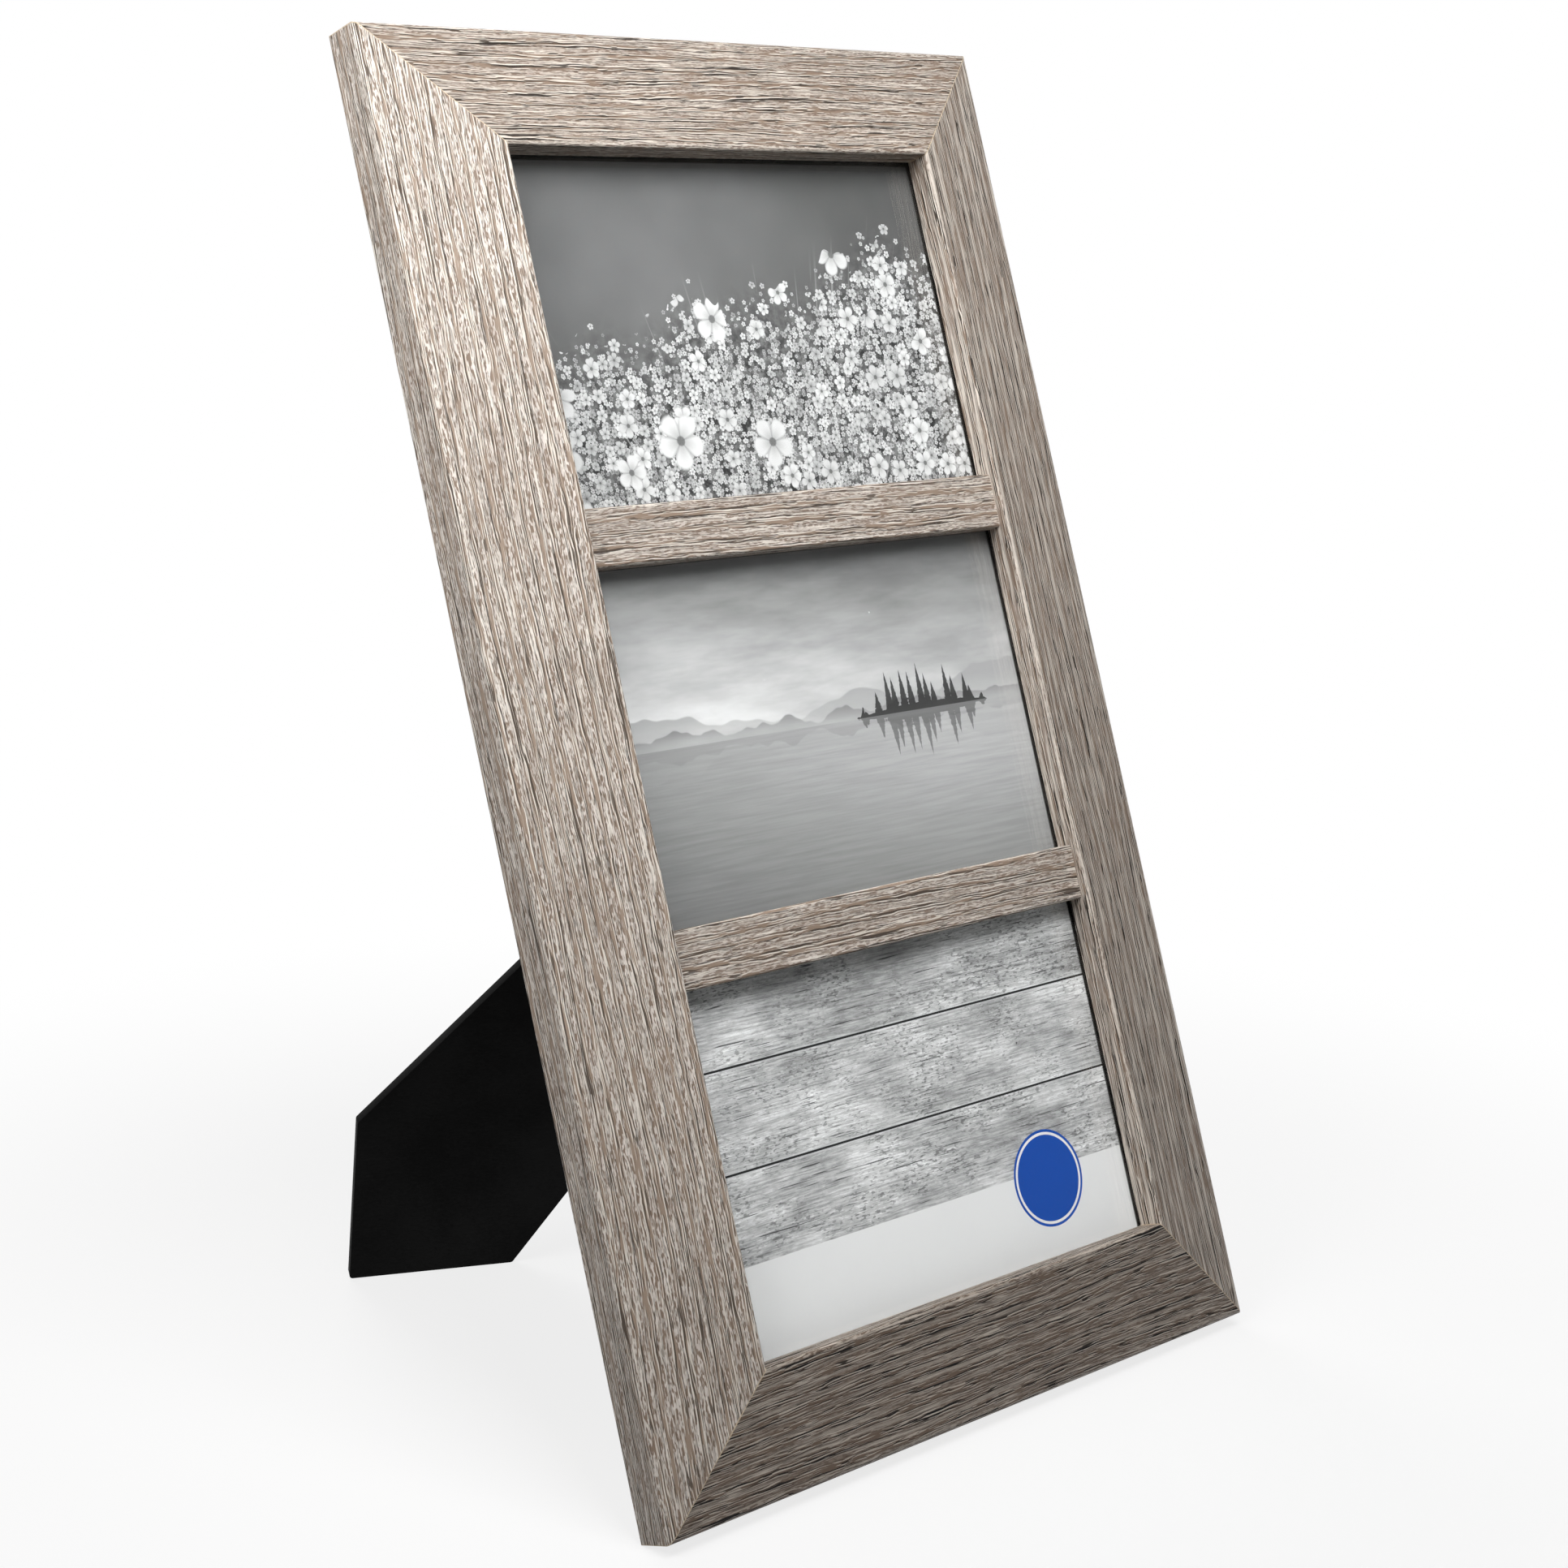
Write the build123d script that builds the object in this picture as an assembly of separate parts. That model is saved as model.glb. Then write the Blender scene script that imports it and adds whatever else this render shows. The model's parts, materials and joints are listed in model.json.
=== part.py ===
from build123d import *
import os
from math import atan, cos, degrees, radians, sin, tan

# Sizes are in millimetres and degrees. The frame is drawn upright first: X to the right as seen from
# the front, Z up, the back of the moulding on Y = 0 and the pictures facing -Y. At the end the leg is
# swung open, the frame is leaned back until the foot meets the floor, and all of it stands on Z = 0.

# Pictures, from the top down
print_names = ("upper_print", "middle_print", "lower_print")
photo_width = 152.4
photo_height = 101.6
print_thickness = 0.3
print_trim = 0.4

# Moulding: a flat back, a low outer side and a face that rises to the sight edge
moulding_width = 31.75
side_height = 11.2
face_rise = 7.3
outer_edge_radius = 2.0
inner_edge_radius = 0.8
sight_lip = 6.35
rebate_depth = 10.9
rebate_clearance = 0.8

# Corner nails, driven from the back across each mitre
v_nail_leg = 5.5
v_nail_steel = 0.6
v_nail_depth = 8.0
v_nail_inset = 7.0
v_nail_pitch = 9.5
v_nails_per_corner = 2

# Crossbars between the windows, tenoned into the stiles
crossbar_width = 14.5
crossbar_setback = 2.9
crossbar_edge_radius = 0.8
tenon_length = 5.0
tenon_shoulder = 1.0
tenon_side_shoulder = 2.5
tenon_clearance = 0.1

# What lies in the rebate behind the moulding
glass_thickness = 2.0
board_thickness = 3.0
board_clearance = 0.4

# Easel leg: it stands the frame either way up, on one of two foot edges
leg_thickness = 3.0
leg_top_width = 36.2
leg_skew = 34.0
leg_open = 46.0
hinge_right_of_middle = 33.7
hinge_above_middle = 7.4
foot_side_length = 54.6
foot_bottom_length = 46.1
foot_corner_radius = 1.0
leg_clearance = 0.4
stop_gap = 0.15
heel_radius = 1.5

# Leg hinge
pin_diameter = 2.0
pin_clearance = 0.05
pin_head_diameter = 3.2
pin_head_thickness = 0.8
hinge_steel = 0.8
hinge_length = 24.0
leaf_reach = 16.0
leg_knuckle_length = 9.6
knuckle_gap = 0.2
knuckle_board_gap = 0.5
notch_gap = 1.2

# Rivets of the hinge
rivet_shank = 2.4
rivet_head = 5.0
rivet_head_height = 0.9
rivet_clearance = 0.05
rivet_spread = 14.0
rivet_inset = 5.0

# Turn buttons and their screws
button_width = 9.0
button_reach = 16.0
button_steel = 1.0
button_gap = 0.1
button_hole_clearance = 0.1
button_pivot_inset = 6.0
stile_button_spread = 120.0
rail_button_offset = 45.0
screw_shank = 2.6
screw_length = 10.0
screw_head = 5.8
screw_head_height = 1.9
screw_slot_width = 0.8
screw_slot_length = 3.4
screw_slot_depth = 0.9
pilot_clearance = 0.05

# Sawtooth hangers and their nails
hanger_length = 45.0
hanger_width = 9.5
hanger_steel = 0.7
hanger_lift = 1.6
hanger_pad = 7.0
hanger_inset = 11.0
tooth_pitch = 2.5
tooth_depth = 1.2
nail_shank = 1.3
nail_length = 8.0
nail_head = 3.2
nail_head_thickness = 0.6

# Derived: the window field, the outside and the rebate
stack_height = photo_height * len(print_names)
sight_width = photo_width - 2 * sight_lip
sight_height = stack_height - 2 * sight_lip
frame_width = sight_width + 2 * moulding_width
frame_height = sight_height + 2 * moulding_width
middle = frame_height / 2
frame_depth = side_height + face_rise
rebate_width = photo_width + 2 * rebate_clearance
rebate_height = stack_height + 2 * rebate_clearance
back_face = moulding_width - sight_lip - rebate_clearance
crossbar_thickness = frame_depth - crossbar_setback - rebate_depth
pad_thickness = rebate_depth - glass_thickness - print_thickness - board_thickness

# Derived: the hinge. The pin stands off the board far enough for its knuckle, or for the folded leg.
pin_radius = pin_diameter / 2
bore_radius = pin_radius + pin_clearance
knuckle_radius = bore_radius + hinge_steel
leaf_back = leg_clearance + leg_thickness + hinge_steel
pin_standoff = max(knuckle_radius + knuckle_board_gap, leaf_back - knuckle_radius)
leg_inner = pin_standoff - leg_clearance
leg_outer = leg_thickness - leg_inner
notch_reach = knuckle_radius + notch_gap
ear_length = (hinge_length - leg_knuckle_length) / 2 - knuckle_gap
hinge_x = hinge_right_of_middle
hinge_z = middle + hinge_above_middle
skew = radians(leg_skew)
swing = radians(leg_open)
hinge_plane = Plane(
    origin=(hinge_x, pin_standoff, hinge_z),
    x_dir=(cos(skew), 0, -sin(skew)),
    z_dir=(0, 1, 0),
)

# Derived: the lean at which a foot edge that is parallel to the frame's side when folded lies on the floor
lean = degrees(atan(cos(skew) * tan(swing / 2)))


def foot_inset(share: float) -> float:
    """How far inside the frame's edge a foot edge lies when folded; share is its edge's part of the skew."""
    drop = leg_inner * share * sin(swing)
    return drop + (pin_standoff - leg_inner * cos(swing)) * share * tan(swing / 2)


def block(x: tuple[float, float], y: tuple[float, float], z: tuple[float, float]) -> Part:
    """A box between two limits on each axis."""
    size = Box(x[1] - x[0], y[1] - y[0], z[1] - z[0])
    return Pos((x[0] + x[1]) / 2, (y[0] + y[1]) / 2, (z[0] + z[1]) / 2) * size


def rod(radius: float, x: tuple[float, float]) -> Part:
    """A round rod along X between two limits."""
    return Pos((x[0] + x[1]) / 2, 0, 0) * Rot(0, 90, 0) * Cylinder(radius, x[1] - x[0])


def shaft(radius: float, z: tuple[float, float]) -> Part:
    """A round rod along Z between two limits."""
    return Pos(0, 0, (z[0] + z[1]) / 2) * Cylinder(radius, z[1] - z[0])


def moulding(length: float) -> Part:
    """A mitred length of moulding along X, its outer side on Z = 0 and its sight edge above."""
    corners = [
        (0, 0),
        (-side_height, 0),
        (-frame_depth, moulding_width),
        (-rebate_depth, moulding_width),
        (-rebate_depth, back_face),
        (0, back_face),
    ]
    section = make_face(Polyline(*corners, close=True))
    outer_edge = section.vertices().sort_by_distance((-side_height, 0, 0))[0]
    section = fillet(outer_edge, outer_edge_radius)
    sight_edge = section.vertices().sort_by_distance((-frame_depth, moulding_width, 0))[0]
    section = fillet(sight_edge, inner_edge_radius)
    bar = extrude(Plane.YZ * section, amount=length / 2, both=True)
    half = length / 2
    plan = [
        (-half, 0),
        (half, 0),
        (half - moulding_width, moulding_width),
        (moulding_width - half, moulding_width),
    ]
    mitres = extrude(Plane.XZ * make_face(Polyline(*plan, close=True)), amount=frame_depth)
    return bar & mitres


def v_nails() -> list[Part]:
    """Angle-shaped nails at the four mitres, flush with the back, one leg in each moulding."""
    nails = []
    angle = [
        (0, 0),
        (v_nail_leg, 0),
        (v_nail_leg, v_nail_steel),
        (v_nail_steel, v_nail_steel),
        (v_nail_steel, v_nail_leg),
        (0, v_nail_leg),
    ]
    for side in (-1, 1):
        for end in (-1, 1):
            for step in range(v_nails_per_corner):
                inset = v_nail_inset + step * v_nail_pitch
                x = side * (frame_width / 2 - inset)
                z = middle + end * (middle - inset)
                outline = [(x - side * a, z - end * b) for a, b in angle]
                face = Plane.XZ * make_face(Polyline(*outline, close=True))
                nails.append(extrude(face, amount=v_nail_depth))
    return nails


def crossbar(height: float) -> Part:
    """A bar between two windows, with a stub tenon on each end."""
    face = -rebate_depth - crossbar_thickness
    half = sight_width / 2
    half_width = crossbar_width / 2
    bar = block((-half, half), (face, -rebate_depth), (-half_width, half_width))
    front_edges = bar.faces().sort_by(Axis.Y)[0].edges().filter_by(Axis.X)
    bar = fillet(front_edges, crossbar_edge_radius)
    return Pos(0, 0, height) * (bar + tenon(0.0))


def tenon(clearance: float) -> Part:
    """The tenons of one crossbar as one through block, or their mortises when given a clearance."""
    reach = sight_width / 2 + tenon_length + clearance
    front = -rebate_depth - crossbar_thickness + tenon_shoulder - clearance
    back = -rebate_depth - tenon_shoulder + clearance
    half_width = crossbar_width / 2 - tenon_side_shoulder + clearance
    return block((-reach, reach), (front, back), (-half_width, half_width))


def sheet(width: float, height: float, level: float, front: float, thickness: float) -> Part:
    """A flat sheet in the rebate, its front on the given depth and its middle at the given height."""
    half = width / 2
    return block((-half, half), (front, front + thickness), (level - height / 2, level + height / 2))


def rivet(grip: float) -> Part:
    """A domed rivet along Z, its head on Z = 0 and its shank running down through what it holds."""
    head = shaft(rivet_head / 2, (0, rivet_head_height))
    crown = head.faces().sort_by(Axis.Z)[-1].edges()
    head = fillet(crown, rivet_head_height * 0.8)
    return head + shaft(rivet_shank / 2, (-grip, 0))


def rivet_places(direction: int) -> list[tuple[float, float]]:
    """Where the rivets of one leaf sit; the direction is 1 on the leg and -1 on the board."""
    row = direction * (leaf_reach - rivet_inset)
    return [(-rivet_spread / 2, row), (rivet_spread / 2, row)]


def rivet_holes(direction: int) -> list[Part]:
    """Clearance holes for the rivets of one leaf, right through whatever they are cut from."""
    reach = board_thickness + leg_thickness + pin_standoff
    radius = rivet_shank / 2 + rivet_clearance
    return [Pos(x, y, 0) * shaft(radius, (-reach, reach)) for x, y in rivet_places(direction)]


def board_leaf() -> Part:
    """The hinge leaf on the back board, with two ears that carry the pin."""
    half = hinge_length / 2
    bottom = -pin_standoff
    leaf = block((-half, half), (-leaf_reach, knuckle_radius), (bottom, bottom + hinge_steel))
    for side in (-1, 1):
        ends = sorted((side * half, side * (half - ear_length)))
        leaf += block(ends, (-knuckle_radius, knuckle_radius), (bottom, 0))
        leaf += rod(knuckle_radius, ends)
    gap = half - ear_length
    leaf -= block((-gap, gap), (-notch_reach, notch_reach), (bottom, knuckle_radius))
    leaf -= rod(bore_radius, (-hinge_length, hinge_length))
    return leaf - rivet_holes(-1)


def leg_leaf() -> Part:
    """The hinge leaf on the leg, with the middle knuckle, drawn with the leg folded."""
    half = hinge_length / 2
    neck = leg_knuckle_length / 2
    thickness = (leg_outer, leg_outer + hinge_steel)
    leaf = block((-half, half), (notch_reach, leaf_reach), thickness)
    leaf += block((-neck, neck), (0, notch_reach), thickness)
    leaf += rod(knuckle_radius, (-neck, neck))
    leaf -= rod(bore_radius, (-hinge_length, hinge_length))
    return leaf - rivet_holes(1)


def hinge_pin() -> Part:
    """The pin through both leaves, with a head at each end."""
    half = hinge_length / 2
    pin = rod(pin_radius, (-half, half))
    pin += rod(pin_head_diameter / 2, (half, half + pin_head_thickness))
    return pin + rod(pin_head_diameter / 2, (-half - pin_head_thickness, -half))


def on_leg(x: float, z: float) -> tuple[float, float]:
    """A point on the frame's back in the folded leg's own plane: along the pin, and down the leg."""
    across = x - hinge_x
    up = z - hinge_z
    return (across * cos(skew) - up * sin(skew), -across * sin(skew) - up * cos(skew))


def easel_leg() -> Part:
    """The leg folded flat: two foot edges parallel to the frame's sides, and a heel that stops its swing."""
    corner_x = foot_inset(sin(skew)) - frame_width / 2
    corner_z = foot_inset(cos(skew))
    side_foot = on_leg(corner_x, corner_z + foot_side_length)
    corner = on_leg(corner_x, corner_z)
    bottom_foot = on_leg(corner_x + foot_bottom_length, corner_z)
    half_top = leg_top_width / 2
    rise = leg_thickness + pin_standoff + leg_outer
    side_top = (-half_top - rise * (side_foot[0] + half_top) / side_foot[1], -rise)
    bottom_top = (half_top - rise * (bottom_foot[0] - half_top) / bottom_foot[1], -rise)
    plan = make_face(Polyline(side_top, side_foot, corner, bottom_foot, bottom_top, close=True))
    plan = fillet(plan.vertices().sort_by(Axis.Y)[-3:], foot_corner_radius)
    slab = extrude(plan, amount=leg_thickness)
    leg = Pos(0, 0, -leg_inner) * slab
    stop = pin_standoff - stop_gap
    heel_inner = (leg_inner * cos(swing) - stop) / sin(swing)
    heel_outer = (-leg_outer * cos(swing) - stop) / sin(swing)
    end = 2 * corner[1]
    profile = [(heel_inner, -leg_inner), (end, -leg_inner), (end, leg_outer), (heel_outer, leg_outer)]
    side = make_face(Polyline(*profile, close=True))
    side = fillet(side.vertices().sort_by_distance((heel_inner, -leg_inner, 0))[0], heel_radius)
    leg &= extrude(Plane.YZ * side, amount=frame_height, both=True)
    notch = hinge_length / 2 + pin_head_thickness + notch_gap
    leg -= block((-notch, notch), (-end, notch_reach), (-leg_inner, leg_outer))
    return leg - rivet_holes(1)


def button_planes() -> dict[str, Plane]:
    """Each turn button's pivot on the back, its local X pointing to the board that it holds."""
    side = rebate_width / 2 + button_pivot_inset
    end = rebate_height / 2 + button_pivot_inset
    spread = stile_button_spread / 2
    places = {
        "left_lower": ((-side, middle - spread), (1, 0)),
        "left_upper": ((-side, middle + spread), (1, 0)),
        "right_lower": ((side, middle - spread), (-1, 0)),
        "right_upper": ((side, middle + spread), (-1, 0)),
        "top": ((rail_button_offset, middle + end), (0, -1)),
        "bottom": ((rail_button_offset, middle - end), (0, 1)),
    }
    planes = {}
    for name, (pivot, inward) in places.items():
        origin = (pivot[0], 0, pivot[1])
        planes[name] = Plane(origin=origin, x_dir=(inward[0], 0, inward[1]), z_dir=(0, 1, 0))
    return planes


def turn_button() -> Part:
    """A round-ended plate that turns on its screw."""
    centres = button_reach - button_width / 2
    plan = Pos(centres / 2, 0, 0) * SlotCenterToCenter(centres, button_width)
    plate = Pos(0, 0, button_gap) * extrude(plan, amount=button_steel)
    hole = screw_shank / 2 + button_hole_clearance
    return plate - shaft(hole, (0, 2 * button_steel + button_gap))


def button_screw() -> Part:
    """A pan-head screw with a cross slot, its head just clear of the button."""
    seat = 2 * button_gap + button_steel
    head = shaft(screw_head / 2, (seat, seat + screw_head_height))
    crown = head.faces().sort_by(Axis.Z)[-1].edges()
    head = fillet(crown, screw_head_height * 0.6)
    floor = seat + screw_head_height - screw_slot_depth
    long = screw_slot_length / 2
    short = screw_slot_width / 2
    top = seat + 2 * screw_head_height
    head -= block((-long, long), (-short, short), (floor, top))
    head -= block((-short, short), (-long, long), (floor, top))
    point = Pos(0, 0, -screw_length + screw_shank / 2) * Rot(180, 0, 0)
    tip = point * Cone(screw_shank / 2, 0, screw_shank, align=(Align.CENTER, Align.CENTER, Align.MIN))
    return head + shaft(screw_shank / 2, (screw_shank / 2 - screw_length, seat)) + tip


def hanger_planes() -> dict[str, Plane]:
    """Where the hangers sit: local X along the strip, local Y down when the frame hangs that way up."""
    high = (0, 0, frame_height - hanger_inset)
    right = (frame_width / 2 - hanger_inset, 0, middle)
    return {
        "portrait_hanger": Plane(origin=high, x_dir=(1, 0, 0), z_dir=(0, 1, 0)),
        "landscape_hanger": Plane(origin=right, x_dir=(0, 0, -1), z_dir=(0, 1, 0)),
    }


def hanger_nail_places() -> list[float]:
    """The two nail positions along a hanger."""
    place = (hanger_length - hanger_pad) / 2
    return [-place, place]


def sawtooth_hanger() -> Part:
    """A strip whose middle stands off the wood, with teeth along the edge that rests on the wall's nail."""
    half = hanger_length / 2
    pad = half - hanger_pad
    raised = pad - hanger_lift
    bend = hanger_steel * tan(radians(22.5))
    under = [(-half, 0), (-pad, 0), (-raised, hanger_lift), (raised, hanger_lift), (pad, 0), (half, 0)]
    over = [
        (half, hanger_steel),
        (pad + bend, hanger_steel),
        (raised + bend, hanger_lift + hanger_steel),
        (-raised - bend, hanger_lift + hanger_steel),
        (-pad - bend, hanger_steel),
        (-half, hanger_steel),
    ]
    section = Plane.XZ * make_face(Polyline(*under, *over, close=True))
    strip = extrude(section, amount=hanger_width / 2, both=True)
    count = int(2 * raised / tooth_pitch)
    edge = hanger_width / 2
    for index in range(count):
        x = (index - (count - 1) / 2) * tooth_pitch
        notch = [(x - tooth_pitch / 2, edge), (x, edge - tooth_depth), (x + tooth_pitch / 2, edge)]
        strip -= extrude(make_face(Polyline(*notch, close=True)), amount=2 * hanger_lift + hanger_steel)
    holes = [Pos(x, 0, 0) * nail_hole() for x in hanger_nail_places()]
    return strip - holes


def hanger_nail() -> Part:
    """A flat-headed nail through a hanger's pad."""
    head = shaft(nail_head / 2, (hanger_steel, hanger_steel + nail_head_thickness))
    return head + shaft(nail_shank / 2, (-nail_length, hanger_steel))


def nail_hole() -> Part:
    """The hole that a hanger nail fills."""
    return shaft(nail_shank / 2 + pilot_clearance, (-nail_length - pilot_clearance, 2 * hanger_steel))


def screw_hole() -> Part:
    """The hole that a button's screw fills."""
    return shaft(screw_shank / 2 + pilot_clearance, (-screw_length - screw_shank, button_steel))


def group(solids: list[Part]) -> Compound:
    """Separate solids kept together as one node."""
    return Compound([solid for part in solids for solid in part.solids()])


def main() -> None:
    """Builds every piece upright, opens the leg, stands the frame on the floor and writes the pieces."""
    nails = v_nails()
    crossbar_levels = [middle + photo_height / 2, middle - photo_height / 2]
    buttons = button_planes()
    hangers = hanger_planes()

    pockets = list(nails)
    pockets += [plane * screw_hole() for plane in buttons.values()]
    for plane in hangers.values():
        pockets += [plane * Pos(x, 0, 0) * nail_hole() for x in hanger_nail_places()]
    mortises = [Pos(0, 0, level) * tenon(tenon_clearance) for level in crossbar_levels]

    stile = moulding(frame_height)
    rail = moulding(frame_width)
    half_width = frame_width / 2
    pieces = {
        "left_stile": Pos(-half_width, 0, middle) * Rot(0, 90, 0) * stile - mortises - pockets,
        "right_stile": Pos(half_width, 0, middle) * Rot(0, -90, 0) * stile - mortises - pockets,
        "top_rail": Pos(0, 0, frame_height) * Rot(0, 180, 0) * rail - pockets,
        "bottom_rail": rail - pockets,
        "corner_v_nails": group(nails),
        "upper_crossbar": crossbar(crossbar_levels[0]),
        "lower_crossbar": crossbar(crossbar_levels[1]),
    }

    glass_front = -rebate_depth
    print_front = glass_front + glass_thickness
    pad_front = print_front + print_thickness
    board_front = pad_front + pad_thickness
    pieces["glass_pane"] = sheet(photo_width, stack_height, middle, glass_front, glass_thickness)
    for row, name in enumerate(print_names):
        level = middle + ((len(print_names) - 1) / 2 - row) * photo_height
        width = photo_width - print_trim
        pieces[name] = sheet(width, photo_height - print_trim, level, print_front, print_thickness)
    pieces["filler_pad"] = sheet(photo_width, stack_height, middle, pad_front, pad_thickness)
    board_width = rebate_width - 2 * board_clearance
    board_height = rebate_height - 2 * board_clearance
    board = sheet(board_width, board_height, middle, board_front, board_thickness)
    pieces["back_board"] = board - [hinge_plane * hole for hole in rivet_holes(-1)]

    leaf_top = hinge_steel - pin_standoff
    board_rivet = Pos(0, 0, leaf_top) * rivet(hinge_steel + board_thickness)
    leg_rivet = Pos(0, 0, leg_outer + hinge_steel) * rivet(hinge_steel + leg_thickness)
    pieces["hinge_board_leaf"] = hinge_plane * board_leaf()
    pieces["hinge_pin"] = hinge_plane * hinge_pin()
    pieces["board_rivets"] = group([hinge_plane * Pos(x, y, 0) * board_rivet for x, y in rivet_places(-1)])

    opened = hinge_plane * Rot(leg_open, 0, 0)
    pieces["easel_leg"] = opened * easel_leg()
    pieces["hinge_leg_leaf"] = opened * leg_leaf()
    pieces["leg_rivets"] = group([opened * Pos(x, y, 0) * leg_rivet for x, y in rivet_places(1)])

    for name, plane in buttons.items():
        pieces[f"{name}_turn_button"] = plane * turn_button()
    pieces["button_screws"] = group([plane * button_screw() for plane in buttons.values()])
    for name, plane in hangers.items():
        pieces[name] = plane * sawtooth_hanger()
    places = [plane * Pos(x, 0, 0) for plane in hangers.values() for x in hanger_nail_places()]
    pieces["hanger_nails"] = group([place * hanger_nail() for place in places])

    leaned = {name: Rot(-lean, 0, 0) * piece for name, piece in pieces.items()}
    footprint = Compound(list(leaned.values())).bounding_box()
    stand = Pos(0, -(footprint.min.Y + footprint.max.Y) / 2, 0)
    os.makedirs("parts", exist_ok=True)
    for name, piece in leaned.items():
        export_step(stand * piece, f"parts/{name}.step")


main()
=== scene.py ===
"""A tall collage photo frame in wood-look foil, leaning on its fold-out leg, dressed over its CAD model.

Pieces are drawn upright, with the back of the moulding at Y = 0, its lower edge at Z = 0 and the pictures
facing -Y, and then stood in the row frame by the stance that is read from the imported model.
"""

import json
import logging
from dataclasses import dataclass, field
from enum import Enum
from math import atan2, ceil, cos, pi, radians, sin, tan
from typing import Callable, NamedTuple, Sequence, Union

import bmesh
import bpy
from mathutils import Matrix, Vector


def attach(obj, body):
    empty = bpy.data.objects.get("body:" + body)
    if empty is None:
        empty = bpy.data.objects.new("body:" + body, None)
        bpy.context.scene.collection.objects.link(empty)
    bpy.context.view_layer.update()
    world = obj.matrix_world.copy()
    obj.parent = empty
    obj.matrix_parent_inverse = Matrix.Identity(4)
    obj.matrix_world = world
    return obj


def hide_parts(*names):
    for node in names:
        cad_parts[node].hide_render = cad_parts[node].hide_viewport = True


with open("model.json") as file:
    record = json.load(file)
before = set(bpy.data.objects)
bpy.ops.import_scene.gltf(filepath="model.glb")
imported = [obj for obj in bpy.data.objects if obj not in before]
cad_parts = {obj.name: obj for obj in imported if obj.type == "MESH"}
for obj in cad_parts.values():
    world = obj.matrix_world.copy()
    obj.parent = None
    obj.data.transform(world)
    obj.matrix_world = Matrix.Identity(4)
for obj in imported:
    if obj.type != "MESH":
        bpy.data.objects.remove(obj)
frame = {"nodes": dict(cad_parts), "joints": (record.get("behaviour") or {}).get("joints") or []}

LOG = logging.getLogger("collage_frame")
MM = 0.001
SHADER_TREE = "ShaderNodeTree"
GEOMETRY_TREE = "GeometryNodeTree"
VORONOI = "ShaderNodeTexVoronoi"
RESULT_COLOUR = 2
STREAK_PITCH = 3.4
RIDGE_OFFSET = 0.29
RAISED = 0.45

Feed = Union["Wire", float, int, str, bool, tuple, bpy.types.Material, bpy.types.Object, None]
Colour = tuple[float, float, float, float]


class Slot(Enum):
    """The record's material slots."""

    FOIL = "foil_wood"
    GLASS = "clear_glass"
    PAPER = "print_paper"
    CARD = "filler_card"
    BOARD = "black_board"
    STEEL = "zinc_steel"


class Body(Enum):
    """The bodies that pieces ride on, apart from the turn buttons, which are named one by one."""

    FRAME = "frame"
    LEG = "easel_leg"


def tone(red: int, green: int, blue: int) -> Colour:
    """Turn a colour as a screen shows it into the linear one that shaders take.

    Args:
        red: red, 0 to 255.
        green: green, 0 to 255.
        blue: blue, 0 to 255.

    Returns:
        The linear colour with full alpha.
    """
    shown = [value / 255 for value in (red, green, blue)]
    linear = [v / 12.92 if v <= 0.04045 else ((v + 0.055) / 1.055) ** 2.4 for v in shown]
    return (linear[0], linear[1], linear[2], 1.0)


def grey(value: float) -> Colour:
    """Give a neutral linear colour."""
    return (value, value, value, 1.0)


def sign(operation: str, turned: bool = False) -> Callable[..., "Wire"]:
    """Make the method behind one sign of arithmetic.

    Args:
        operation: the Math node's operation.
        turned: whether the other value comes first.

    Returns:
        The method.
    """

    def work(self: "Wire", other: Feed = None) -> "Wire":
        """Add the Math node."""
        return self.graph.math(operation, *((other, self) if turned else (self, other)))

    return work


class Wire:
    """A node's output. Signs of arithmetic between it and other values add Math nodes."""

    __add__ = sign("ADD")
    __sub__ = sign("SUBTRACT")
    __rsub__ = sign("SUBTRACT", turned=True)
    __mul__ = sign("MULTIPLY")
    __truediv__ = sign("DIVIDE")
    __rtruediv__ = sign("DIVIDE", turned=True)
    __pow__ = sign("POWER")
    __lt__ = sign("LESS_THAN")
    __gt__ = sign("GREATER_THAN")
    __abs__ = sign("ABSOLUTE")
    most = sign("MAXIMUM")
    least = sign("MINIMUM")

    def __init__(self, graph: "Graph", socket: bpy.types.NodeSocket) -> None:
        """Hold an output of a graph."""
        self.graph = graph
        self.socket = socket


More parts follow.
